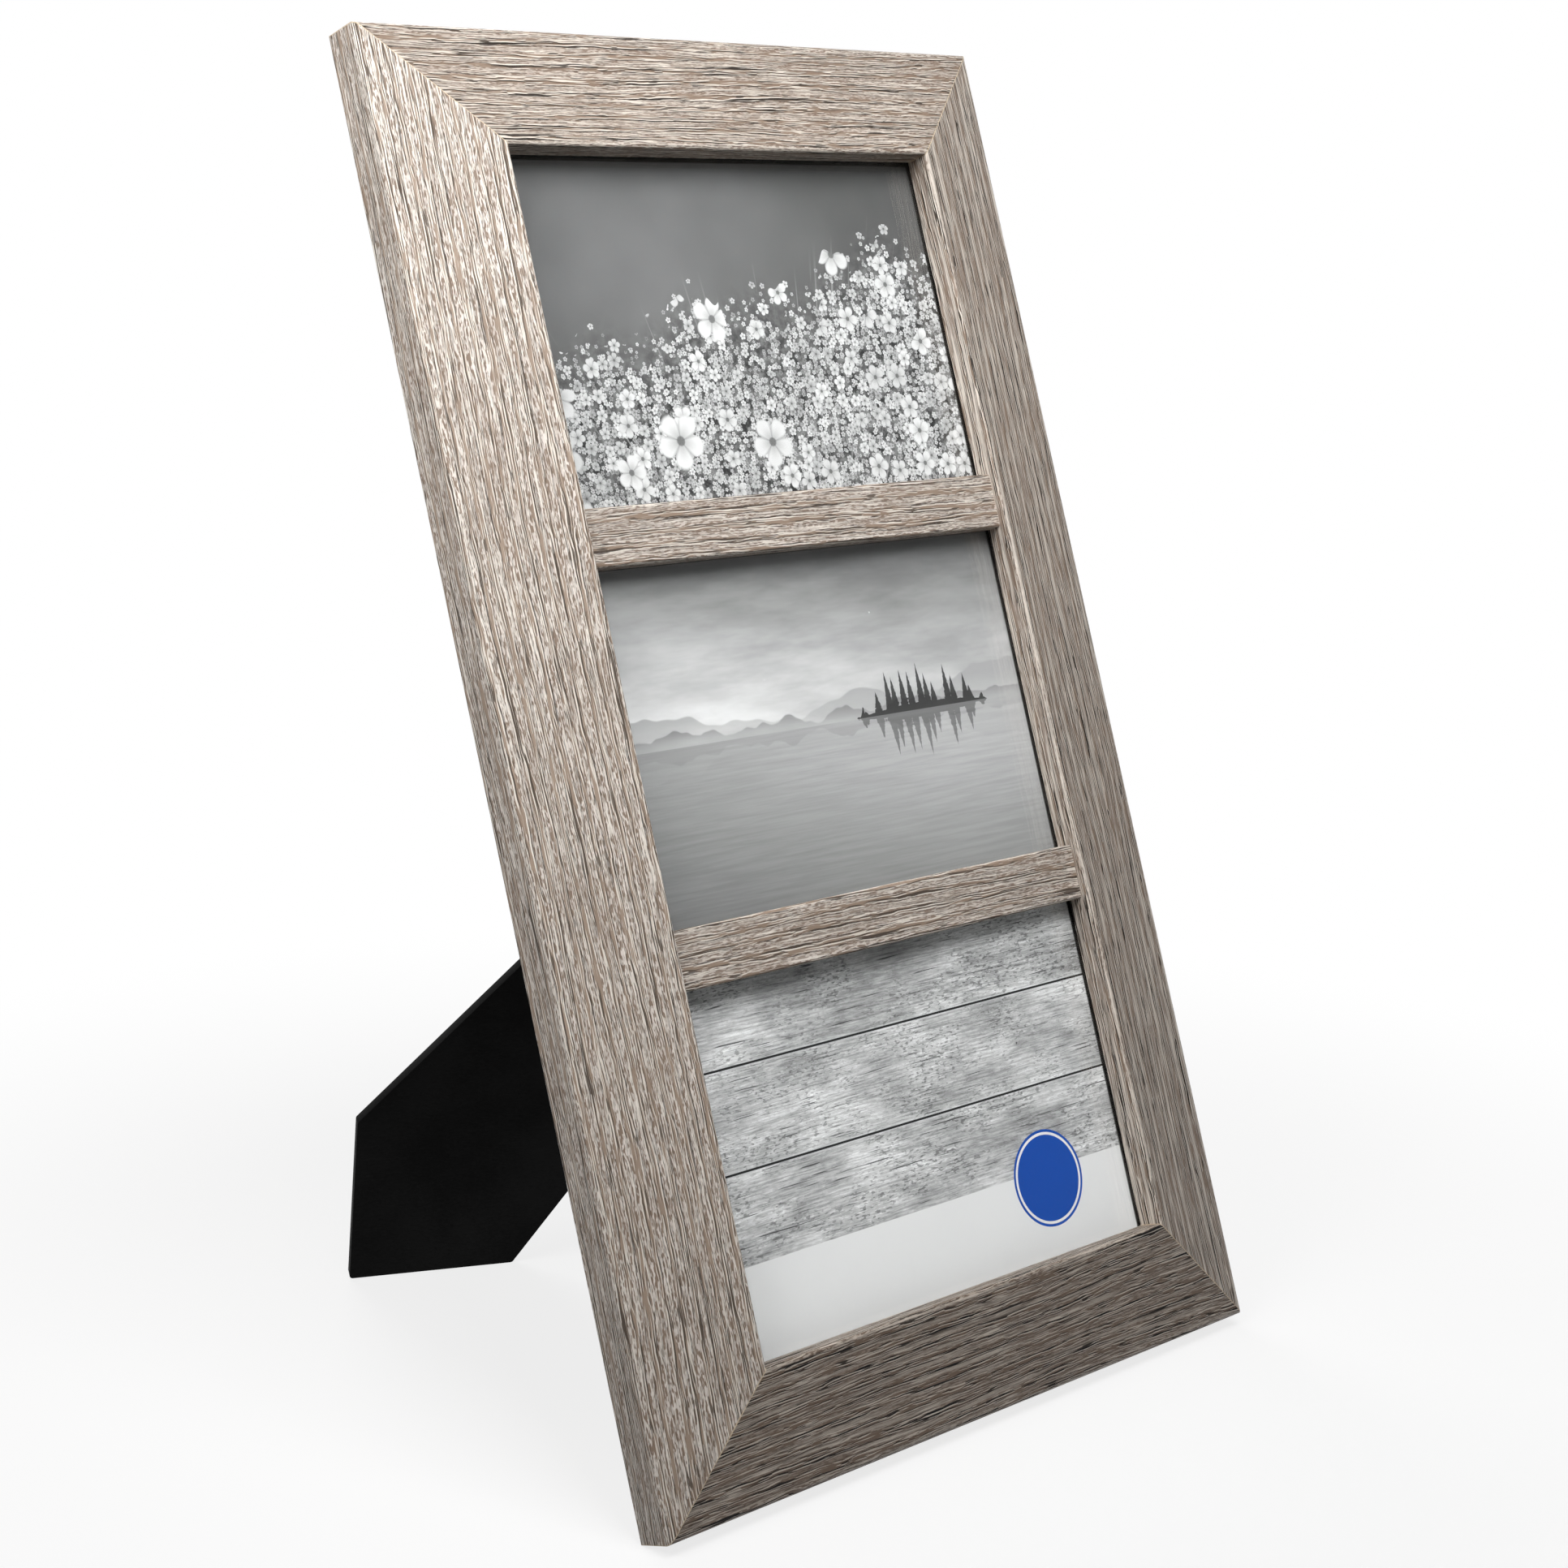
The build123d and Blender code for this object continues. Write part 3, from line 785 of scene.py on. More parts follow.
@dataclass(frozen=True)
class BlossomPrint(PrintFinish):
    """White five-petalled blossom banked against a dark grey ground."""

    ground: float = 0.095
    glow: float = 0.15
    glow_middle: tuple[float, float, float] = (-30.0, 18.0, 0.0)
    stalk: Colour = grey(0.3)
    layers: tuple[FlowerLayer, ...] = (
        FlowerLayer(1.5, 5.0, 0.8, 0.2, 0.64),
        FlowerLayer(1.9, 53.0, 0.7, 0.3, 0.66),
        FlowerLayer(2.6, 11.0, 0.6, 0.36, 0.68),
        FlowerLayer(4.2, 37.0, 0.5, 0.42, 0.68),
        FlowerLayer(8.0, 71.0, 0.4, 0.54, 0.68),
        FlowerLayer(17.0, 123.0, 0.4, 0.58, 0.68),
    )

    def flowers(self, graph: Graph, place: Wire, layer: FlowerLayer, bank: Wire, under: Wire) -> Wire:
        """Scatter one layer of blossoms over what lies under them.

        Args:
            graph: the material's graph.
            place: the point on the print, in millimetres.
            layer: the layer.
            bank: how deep in the bank the point is, 0 to 1.
            under: the colour under this layer.

        Returns:
            The colour with this layer on it.
        """
        moved = graph.vector("ADD", place, (layer.seed, layer.seed * 0.7, 0.0))
        feeds = {"Vector": moved, "Scale": 1.0 / layer.spacing, "Randomness": 0.6}
        cells = graph.outs(VORONOI, feeds, voronoi_dimensions="2D")
        turn, size, chance = graph.parts(cells["Color"])
        dx, dy, _ = graph.parts(graph.vector("SUBTRACT", moved, cells["Position"]))
        angle = graph.math("ARCTAN2", dy, dx) + turn * 6.28
        petal = abs(graph.math("COSINE", angle * 2.5))
        reach = (size * 0.24 + 0.28) * layer.spacing
        radius = graph.vector("LENGTH", graph.join(dx, dy))
        along = radius / (reach * (petal**0.55 * 0.5 + 0.5))
        mask = graph.step(along, 0.86, 1.02, 1.0, 0.0) * (chance < bank * layer.share)
        shade = graph.step(petal, 0.0, 0.55, 0.62, 1.0) * graph.step(along, 0.0, 0.75, 0.62, 1.0)
        shade = shade * graph.blend(turn, layer.darkest, layer.lightest)
        heart = graph.step(radius, reach * 0.13, reach * 0.2, 1.0, 0.0)
        shade = graph.blend(heart * 0.75, shade, 0.08)
        return graph.paint(mask, under, graph.neutral(shade))

    def picture(self, graph: Graph, across: Wire, up: Wire) -> Wire:
        """Paint the blossom bank, higher at the right.

        Args:
            graph: the material's graph.
            across: millimetres to the right of the middle.
            up: millimetres above the middle.

        Returns:
            The colour.
        """
        place = graph.join(across, up)
        far = graph.vector("LENGTH", graph.vector("SUBTRACT", place, self.glow_middle))
        soft = graph.step(graph.noise(place, 1 / 28.0), 0.2, 0.8, 0.88, 1.12)
        colour = graph.neutral(graph.step(far, 10.0, 95.0, self.glow, self.ground) * soft)
        wander = graph.noise(graph.join(across / 30.0, 4.0), 1.0, 3.0, 0.6)
        depth = wander * 52.0 + across * 0.22 - 22.0 - up
        bank = graph.step(depth, -10.0, 16.0)
        leaves = graph.step(graph.noise(place, 1 / 3.2, 4.0, 0.65), 0.36, 0.68, 0.012, 0.2)
        colour = graph.paint(bank * 0.9, colour, graph.neutral(leaves))
        stems = graph.math("ARCTAN2", across, up + 120.0)
        stalk = graph.noise(graph.join(stems * 95.0, up / 60.0, 2.0), 1.0, 1.0)
        rising = graph.step(stalk, 0.66, 0.7, 0.0, 0.7) * graph.step(depth, -14.0, 4.0)
        colour = graph.paint(rising, colour, self.stalk)
        for layer in self.layers:
            colour = self.flowers(graph, place, layer, bank, colour)
        return colour


class Hill(NamedTuple):
    """A row of hills: its height and length in millimetres, its shade and its seed."""

    height: float
    length: float
    shade: float
    seed: float


@dataclass(frozen=True)
class LakePrint(PrintFinish):
    """A still lake in mist, with far hills and a wooded island."""

    shore: float = -1.0
    island: float = 33.0
    island_reach: float = 24.0
    fir_pitch: float = 3.1
    fir_shade: float = 0.025
    hills: tuple[Hill, ...] = (Hill(13.0, 42.0, 0.36, 3.0), Hill(6.5, 21.0, 0.23, 9.0))

    def trees(self, graph: Graph, across: Wire, rise: Wire) -> Wire:
        """Draw the island's firs as a mask.

        Args:
            graph: the material's graph.
            across: millimetres to the right of the middle.
            rise: millimetres above the shore, or below it for the reflection.

        Returns:
            The mask.
        """
        rows = graph.outs(VORONOI, {"W": across, "Scale": 1 / self.fir_pitch}, voronoi_dimensions="1D")
        aside = (across - self.island) / self.island_reach
        swell = graph.math("SUBTRACT", 1.0, aside * aside, clamp=True)
        top = swell * (graph.parts(rows["Color"])[0] * 9.0 + 6.0)
        taper = graph.math("SUBTRACT", 1.0, rise / top.most(0.1), clamp=True)
        ragged = graph.noise(graph.join(across / 0.9, rise / 0.7), 1.0, 2.0, 0.6)
        fir = abs(across - rows["W"]) < taper * (ragged * 2.2 + 0.5)
        bush = rise < swell * (ragged + 1.4)
        return fir.most(bush) * (swell > 0.02)

    def picture(self, graph: Graph, across: Wire, up: Wire) -> Wire:
        """Paint sky, hills, island and water.

        Args:
            graph: the material's graph.
            across: millimetres to the right of the middle.
            up: millimetres above the middle.

        Returns:
            The colour.
        """
        over = up - self.shore
        rise = abs(over)
        below = over < 0.0
        streak = graph.noise(graph.join(across / 38.0, up / 9.0), 1.0, 4.0, 0.6)
        ripple = graph.noise(graph.join(across / 24.0, up / 1.1, 5.0), 1.0, 3.0, 0.6)
        sky = graph.step(over, 0.0, 46.0, 0.6, 0.2) * graph.step(streak, 0.25, 0.75, 0.78, 1.2)
        sky = sky * graph.step(across, -70.0, 70.0, 1.08, 0.8)
        water = graph.step(over, 0.0, -44.0, 0.39, 0.25) * graph.step(ripple, 0.25, 0.75, 0.9, 1.1)
        water = water * graph.step(across, -70.0, 60.0, 0.8, 1.15)
        light = graph.blend(below, sky, water)
        for hill in self.hills:
            ridge = graph.noise(graph.join(across / hill.length, hill.seed), 1.0, 3.0)
            crest = graph.step(ridge, 0.25, 0.8) * hill.height
            form = graph.step(rise, crest - 0.5, crest, 1.0, 0.0)
            misty = graph.step(rise, 0.0, hill.height * 0.7, 0.35, 0.95)
            light = graph.blend(form * misty * graph.blend(below, 1.0, 0.45), light, hill.shade)
        broken = rise + (ripple - 0.5) * 3.0
        trees = self.trees(graph, across, graph.blend(below, rise, broken))
        light = graph.blend(trees * graph.blend(below, 0.94, 0.6), light, self.fir_shade)
        return graph.neutral(light)


@dataclass(frozen=True)
class BoardPrint(PrintFinish):
    """Weathered grey boards above a plain white band, with a plain blue disc in a white ring."""

    board: float = 24.6
    first_joint: float = -1.0
    band: float = -22.6
    band_white: Colour = grey(0.78)
    disc: tuple[float, float, float] = (41.2, -25.0, 0.0)
    disc_radius: float = 12.5
    blue: Colour = tone(12, 74, 166)
    ring: tuple[float, float] = (11.1, 11.8)
    ring_white: Colour = grey(0.8)
    shades: tuple[float, float] = (0.33, 0.76)

    def picture(self, graph: Graph, across: Wire, up: Wire) -> Wire:
        """Paint the boards, the band and the disc.

        Args:
            graph: the material's graph.
            across: millimetres to the right of the middle.
            up: millimetres above the middle.

        Returns:
            The colour.
        """
        row = (up - self.first_joint) / self.board
        number = graph.math("FLOOR", row)
        within = row - number
        seed = number * 7.7
        grain = graph.group(self.effects.grain, Vector=graph.join(across * MM, up * MM, seed))

        def layer(length: float, width: float, offset: float, detail: float = 1.0) -> Wire:
            """Give noise that is stretched along the boards, in millimetres."""
            place = graph.join(across / length, up / width, seed)
            return graph.noise(graph.vector("ADD", place, (offset, 0.0, 0.0)), 1.0, detail, 0.65)

        busy = graph.step(layer(22.0, 12.0, 40.0, 2.0), 0.4, 0.6, 0.25, 1.0)
        light = graph.step(layer(30.0, 14.0, 0.0, 5.0), 0.3, 0.7, *self.shades)
        light = light * graph.step(layer(9.0, 0.5, 7.0, 2.0), 0.3, 0.7, 0.74, 1.18)
        dark = graph.step(layer(1.7, 0.62, 11.0), 0.56, 0.62, 0.0, 0.75) * busy
        pale = graph.step(layer(1.5, 0.5, 19.0), 0.56, 0.62, 0.0, 0.65) * busy
        light = graph.blend(dark, light, light * 0.3)
        light = graph.blend(pale, light, light + 0.2)
        light = graph.blend(grain["Grooves"] * 0.3, light, 0.06)
        crack = graph.step(layer(15.0, 0.5, 29.0), 0.34, 0.28, 0.0, 0.9)
        light = graph.blend(crack, light, 0.05)
        feeds = {"Vector": graph.join(across / 19.0, row), "Scale": 1.0}
        knots = graph.outs(VORONOI, feeds, voronoi_dimensions="2D")
        chance, size, _ = graph.parts(knots["Color"])
        ragged = knots["Distance"] + layer(0.9, 0.7, 3.0) * 0.05
        core = size * 0.04
        knot = graph.step(ragged, core, core + 0.025, 0.95, 0.0)
        light = graph.blend(knot * (chance < 0.3), light, 0.02)
        joint = within.least(1.0 - within) * self.board
        light = graph.blend(graph.step(joint, 0.35, 0.9, 0.35, 0.0), light, 0.8)
        light = graph.blend(graph.step(joint, 0.2, 0.36, 1.0, 0.0), light, 0.008)
        colour = graph.paint(up < self.band, graph.neutral(light), self.band_white)
        far = graph.vector("LENGTH", graph.vector("SUBTRACT", graph.join(across, up), self.disc))
        colour = graph.paint(far < self.disc_radius, colour, self.blue)
        ring = (far < self.ring[1]) * (far > self.ring[0])
        return graph.paint(ring, colour, self.ring_white)


def linked(name: str, data: bpy.types.ID) -> bpy.types.Object:
    """Make an object and put it in the scene.

    Args:
        name: its name.
        data: its mesh, lamp or camera.

    Returns:
        The object.
    """
    thing = bpy.data.objects.new(name, data)
    bpy.context.scene.collection.objects.link(thing)
    return thing


def meshed(name: str, form: bmesh.types.BMesh) -> bpy.types.Mesh:
    """Turn a form into a mesh, and free the form.

    Args:
        name: the mesh's name.
        form: the form.

    Returns:
        The mesh.
    """
    mesh = bpy.data.meshes.new(name)
    form.to_mesh(mesh)
    form.free()
    return mesh


def result_of(thing: bpy.types.Object) -> bpy.types.Mesh:
    """Give what an object's modifiers make of it as a plain mesh."""
    return bpy.data.meshes.new_from_object(thing.evaluated_get(bpy.context.evaluated_depsgraph_get()))


def stand(name: str, mesh: bpy.types.Mesh, place: Matrix, smooth: float = 32.0) -> bpy.types.Object:
    """Put a mesh in its place as a finished piece at the origin.

    Args:
        name: the piece's name.
        mesh: the mesh, in its own frame.
        place: that frame in the row frame.
        smooth: degrees above which an edge is sharp.

    Returns:
        The piece's object.
    """
    mesh.transform(place)
    form = bmesh.new()
    form.from_mesh(mesh)
    bmesh.ops.recalc_face_normals(form, faces=form.faces)
    form.to_mesh(mesh)
    form.free()
    mesh.shade_smooth()
    mesh.set_sharp_from_angle(angle=radians(smooth))
    mesh.name = name
    return linked(name, mesh)


def settle(piece: bpy.types.Object, body: str, slot: Slot, *nodes: str) -> None:
    """Args:
        piece: the piece's object.
        body: the body's name.
        slot: the material slot; not used.
        nodes: the CAD nodes that it replaces.
    """
    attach(piece, body)
    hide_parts(*nodes)
    LOG.info("%s rides on %s, %d faces", piece.name, body, len(piece.data.polygons))


def dress(node: str, material: bpy.types.Material) -> None:
    """Give a CAD node that stays a better material.

    Args:
        node: the node.
        material: the material.
    """
    thing = frame["nodes"][node]
    if not thing.material_slots:
        thing.data.materials.append(material)
    for slot in thing.material_slots:
        slot.material = material
    LOG.info("%s is dressed in %s", node, material.name)


def grown(
    name: str, source: bpy.types.Mesh, tree: bpy.types.NodeTree, values: dict[str, Feed]
) -> bpy.types.Mesh:
    """Run a Geometry Nodes tree on a mesh and keep the result as a plain mesh.

    Args:
        name: a name for the object that carries the modifier meanwhile.
        source: the mesh that goes in.
        tree: the tree.
        values: the tree's inputs by name.

    Returns:
        The mesh that comes out.
    """
    carrier = linked(name, source)
    modifier = carrier.modifiers.new("grow", "NODES")
    modifier.node_group = tree
    for item in tree.interface.items_tree:
        if item.item_type == "SOCKET" and item.in_out == "INPUT" and item.name in values:
            modifier[item.identifier] = values[item.name]
    mesh = result_of(carrier)
    carrier.modifiers.remove(modifier)
    bpy.data.objects.remove(carrier)
    bpy.data.meshes.remove(source)
    return mesh


class Corner(NamedTuple):
    """A corner of a section: its place, its rounding, and the stretch that follows it."""

    depth: float
    inward: float
    radius: float
    step: float
    foil: bool

    @property
    def place(self) -> Vector:
        """The corner's place in the section."""
        return Vector((self.depth, self.inward))

    def arc(self, before: "Corner", after: "Corner") -> list[Vector]:
        """Round the corner.

        Args:
            before: the corner before it.
            after: the corner after it.

        Returns:
            The points round it, or the corner alone where it is sharp or straight.
        """
        here = self.place
        back = (before.place - here).normalized()
        ahead = (after.place - here).normalized()
        if self.radius == 0.0 or back.dot(ahead) < -0.9999:
            return [here]
        half = back.angle(ahead) / 2
        centre = here + (back + ahead).normalized() * (self.radius / sin(half))
        start = here + back * (self.radius / tan(half)) - centre
        end = here + ahead * (self.radius / tan(half)) - centre
        turn = atan2(start.x * end.y - start.y * end.x, start.dot(end))
        count = max(3, ceil(abs(turn) / radians(12)))
        return [centre + Matrix.Rotation(turn * part / count, 2) @ start for part in range(count + 1)]


def section(name: str, corners: Sequence[Corner]) -> bpy.types.Mesh:
    """Draw a closed section as a loop of edges.

    Args:
        name: the mesh's name.
        corners: the corners in order, from where the foil starts.

    Returns:
        A mesh in the plane that the sweep takes, with the attributes around, foil and arris at its points.
    """
    total = len(corners)
    arcs = [corners[i].arc(corners[i - 1], corners[(i + 1) % total]) for i in range(total)]
    points: list[tuple[Vector, bool, bool]] = []
    for index, (corner, arc) in enumerate(zip(corners, arcs)):
        points += [(point, corner.foil, len(arc) > 1) for point in arc]
        goal = arcs[(index + 1) % total][0]
        count = max(1, ceil((goal - arc[-1]).length / corner.step))
        points += [(arc[-1].lerp(goal, part / count), corner.foil, False) for part in range(1, count)]
    mesh = bpy.data.meshes.new(name)
    loop = [(index, (index + 1) % len(points)) for index in range(len(points))]
    mesh.from_pydata([(point.x, -point.y, 0.0) for point, _, _ in points], loop, [])
    around, foil, arris = (mesh.attributes.new(n, "FLOAT", "POINT") for n in ("around", "foil", "arris"))
    distance = 0.0
    for index, (point, wrapped, rounded) in enumerate(points):
        distance += (point - points[index - 1][0]).length if index else 0.0
        around.data[index].value = distance
        foil.data[index].value = float(wrapped)
        arris.data[index].value = float(rounded and wrapped)
    return mesh


def sweep_tree() -> bpy.types.NodeTree:
    """Build the tree that sweeps a section into a length of moulding.

    Returns:
        The tree: it sweeps, cuts the ends, keeps the grain's place, embosses the foil and sets the materials.
    """
    inputs = {"Geometry": "Geometry", "Length": "Float", "Stations": "Int", "Mitre": "Float",
              "Relief": "Float", "Seed": "Float", "Member Light": "Float", "Pebbling": "Float",
              "Foil": "Material", "Core": "Material"}
    graph, given = Graph.start("sweep_member", GEOMETRY_TREE, inputs, {"Geometry": "Geometry"})

    def named(label: str, kind: str = "FLOAT") -> Wire:
        """Read an attribute of the points."""
        node = graph.add("GeometryNodeInputNamedAttribute", {"Name": label}, data_type=kind)
        return Wire(graph, next(out for out in node.outputs if out.enabled))

    def keep(shape: Wire, label: str, value: Wire, kind: str = "FLOAT") -> Wire:
        """Store an attribute on the points.

        Args:
            shape: the geometry.
            label: the attribute's name.
            value: what it holds at each point.
            kind: its data type.

        Returns:
            The geometry with the attribute.
        """
        feeds = {"Geometry": shape, "Name": label}
        node = graph.add("GeometryNodeStoreNamedAttribute", feeds, data_type=kind, domain="POINT")
        graph.feed(next(slot for slot in node.inputs if slot.enabled and slot.name == "Value"), value)
        return Wire(graph, node.outputs[0])

    half = given["Length"] * 0.5
    ends = {"Start": graph.join(half * -1.0, 0.0), "End": graph.join(half, 0.0)}
    line = graph.out("GeometryNodeCurvePrimitiveLine", ends)
    path = graph.out("GeometryNodeResampleCurve", {"Curve": line, "Count": given["Stations"]})
    loop = graph.out("GeometryNodeMeshToCurve", {"Mesh": given["Geometry"]})
    shape = graph.out("GeometryNodeCurveToMesh", {"Curve": path, "Profile Curve": loop, "Fill Caps": True})

    x, y, z = graph.parts(graph.out("GeometryNodeInputPosition"))
    cut = graph.join(x * ((half - z * given["Mitre"]) / half), y, z)
    shape = graph.out("GeometryNodeSetPosition", {"Geometry": shape, "Position": cut})

    x, _, z = graph.parts(graph.out("GeometryNodeInputPosition"))
    shape = keep(shape, "end_gap", half - z * given["Mitre"] - abs(x))
    # The tone attribute carries the member's painted light level.
    shape = keep(shape, "tone", given["Member Light"])
    shape = keep(shape, "pebbling", given["Pebbling"])
    shape = keep(shape, "grain", graph.join(x, named("around"), given["Seed"]), "FLOAT_VECTOR")

    grain = lay_grain(graph, named("grain", "FLOAT_VECTOR"))
    inside = graph.step(named("end_gap"), 0.3 * MM, 2.5 * MM)
    flat = graph.math("SUBTRACT", named("foil"), named("arris"), clamp=True)
    lift = (0.5 - grain.streaks) * given["Relief"] * (inside * flat)
    offset = graph.vector("SCALE", graph.out("GeometryNodeInputNormal"), lift)
    shape = graph.out("GeometryNodeSetPosition", {"Geometry": shape, "Offset": offset})

    shape = graph.out("GeometryNodeRealizeInstances", {"Geometry": shape})
    shape = graph.out("GeometryNodeSetMaterial", {"Geometry": shape, "Material": given["Core"]})
    feeds = {"Geometry": shape, "Selection": named("foil") > 0.5, "Material": given["Foil"]}
    return graph.end({"Geometry": graph.out("GeometryNodeSetMaterial", feeds)})


def fastener_tree() -> bpy.types.NodeTree:
    """Build the tree that sets one fastener at each point, each turned its own way.

    Returns:
        The tree.
    """
    inputs = {"Geometry": "Geometry", "Fastener": "Object", "Turn Seed": "Int", "Finish": "Material"}
    graph, given = Graph.start("set_fasteners", GEOMETRY_TREE, inputs, {"Geometry": "Geometry"})
    points = graph.out("GeometryNodeMeshToPoints", {"Mesh": given["Geometry"]})
    fastener = graph.out("GeometryNodeObjectInfo", {"Object": given["Fastener"]}, "Geometry")
    feeds = {"Min": (0.0, 0.0, 0.0), "Max": (0.0, 0.0, 2 * pi), "Seed": given["Turn Seed"]}
    turn = graph.out("FunctionNodeRandomValue", feeds, data_type="FLOAT_VECTOR")
    feeds = {"Points": points, "Instance": fastener, "Rotation": turn}
    shape = graph.out("GeometryNodeInstanceOnPoints", feeds)
    shape = graph.out("GeometryNodeRealizeInstances", {"Geometry": shape})
    feeds = {"Geometry": shape, "Material": given["Finish"]}
    return graph.end({"Geometry": graph.out("GeometryNodeSetMaterial", feeds)})


def lathe(name: str, outline: Sequence[tuple[float, float]], sides: int = 40) -> bpy.types.Object:
    """Turn an outline about Z into a closed template.

    Args:
        name: the template's name.
        outline: radius and height of each point, from one end of the axis to the other, on the axis at both.
        sides: faces round it.

    Returns:
        The template's object, which isn't a piece.
    """
    form = bmesh.new()
    angles = [2 * pi * side / sides for side in range(sides)]
    rings = []
    for radius, height in outline:
        if radius == 0.0:
            rings.append([form.verts.new((0.0, 0.0, height))] * sides)
        else:
            rings.append([form.verts.new((radius * cos(a), radius * sin(a), height)) for a in angles])
    for lower, upper in zip(rings, rings[1:]):
        for side in range(sides):
            after = (side + 1) % sides
            ring = [lower[side], lower[after], upper[after], upper[side]]
            form.faces.new(list(dict.fromkeys(ring)))
    bmesh.ops.recalc_face_normals(form, faces=form.faces)
    return linked(name, meshed(name, form))


def softened(
    name: str, node: str, width: float, material: bpy.types.Material, body: str, slot: Slot
) -> None:
    """Copy a CAD node, ease its edges and settle it in the node's place.

    Args:
        name: the piece's name.
        node: the CAD node.
        width: how wide the eased edge is, in metres.
        material: its finish.
        body: the body that it rides on.
        slot: its material slot.
    """
    form = bmesh.new()
    form.from_mesh(frame["nodes"][node].data)
    bmesh.ops.remove_doubles(form, verts=form.verts, dist=1e-6)
    bmesh.ops.dissolve_limit(form, angle_limit=radians(0.5), verts=form.verts, edges=form.edges)
    edges = [edge for edge in form.edges if edge.is_manifold and edge.calc_face_angle() > radians(40)]
    bmesh.ops.bevel(
        form, geom=edges, offset=width, segments=2, profile=0.6, affect="EDGES", clamp_overlap=True
    )
    bmesh.ops.triangulate(form, faces=[face for face in form.faces if len(face.verts) > 4])
    mesh = meshed(name, form)
    mesh.materials.clear()
    mesh.materials.append(material)
    for polygon in mesh.polygons:
        polygon.material_index = 0
    settle(stand(name, mesh, Matrix.Identity(4)), body, slot, node)


@dataclass
class Fasteners:
    """Screws, rivets and nails, each set by one tree from a turned template."""

    steel: bpy.types.Material
    tree: bpy.types.NodeTree = field(init=False)

    def __post_init__(self) -> None:
        """Build the tree."""
        self.tree = fastener_tree()

    def cross_cut(self, template: bpy.types.Object, top: float, slot: tuple[float, float, float]) -> None:
        """Sink a cross slot in a screw's head.

        Args:
            template: the screw.
            top: height of the head's top.
            slot: length, width and depth of each slot.
        """
        length, width, depth = slot
        form = bmesh.new()
        for long, wide in ((length, width), (width, length)):
            size = Matrix.Diagonal((long, wide, 2 * depth, 1.0))
            bmesh.ops.create_cube(form, size=1.0, matrix=Matrix.Translation((0.0, 0.0, top)) @ size)
        cutter = linked("cross_cutter", meshed("cross_cutter", form))
        cut = template.modifiers.new("cut", "BOOLEAN")
        cut.operation = "DIFFERENCE"
        cut.solver = "EXACT"
        cut.use_self = True
        cut.object = cutter
        sunk = result_of(template)
        template.modifiers.remove(cut)
        template.data = sunk
        bpy.data.objects.remove(cutter)

    def set(
        self, node: str, template: bpy.types.Object, points: Sequence[Vector],
        place: Matrix, body: Body, seed: int,
    ) -> None:
        """Set a fastener at each point, in the place of a CAD node.

        Args:
            node: the CAD node.
            template: the turned fastener, whose Z points out of the work.
            points: where each goes, in the work's own frame.
            place: that frame in the row frame.
            body: the body that they ride on.
            seed: how each is turned.
        """
        name = "steel_" + node
        spots = bpy.data.meshes.new(name + "_spots")
        spots.from_pydata([tuple(point) for point in points], [], [])
        values = {"Fastener": template, "Turn Seed": seed, "Finish": self.steel}
        mesh = grown(name + "_spots", spots, self.tree, values)
        bpy.data.objects.remove(template)
        settle(stand(name, mesh, place), body.value, Slot.STEEL, node)


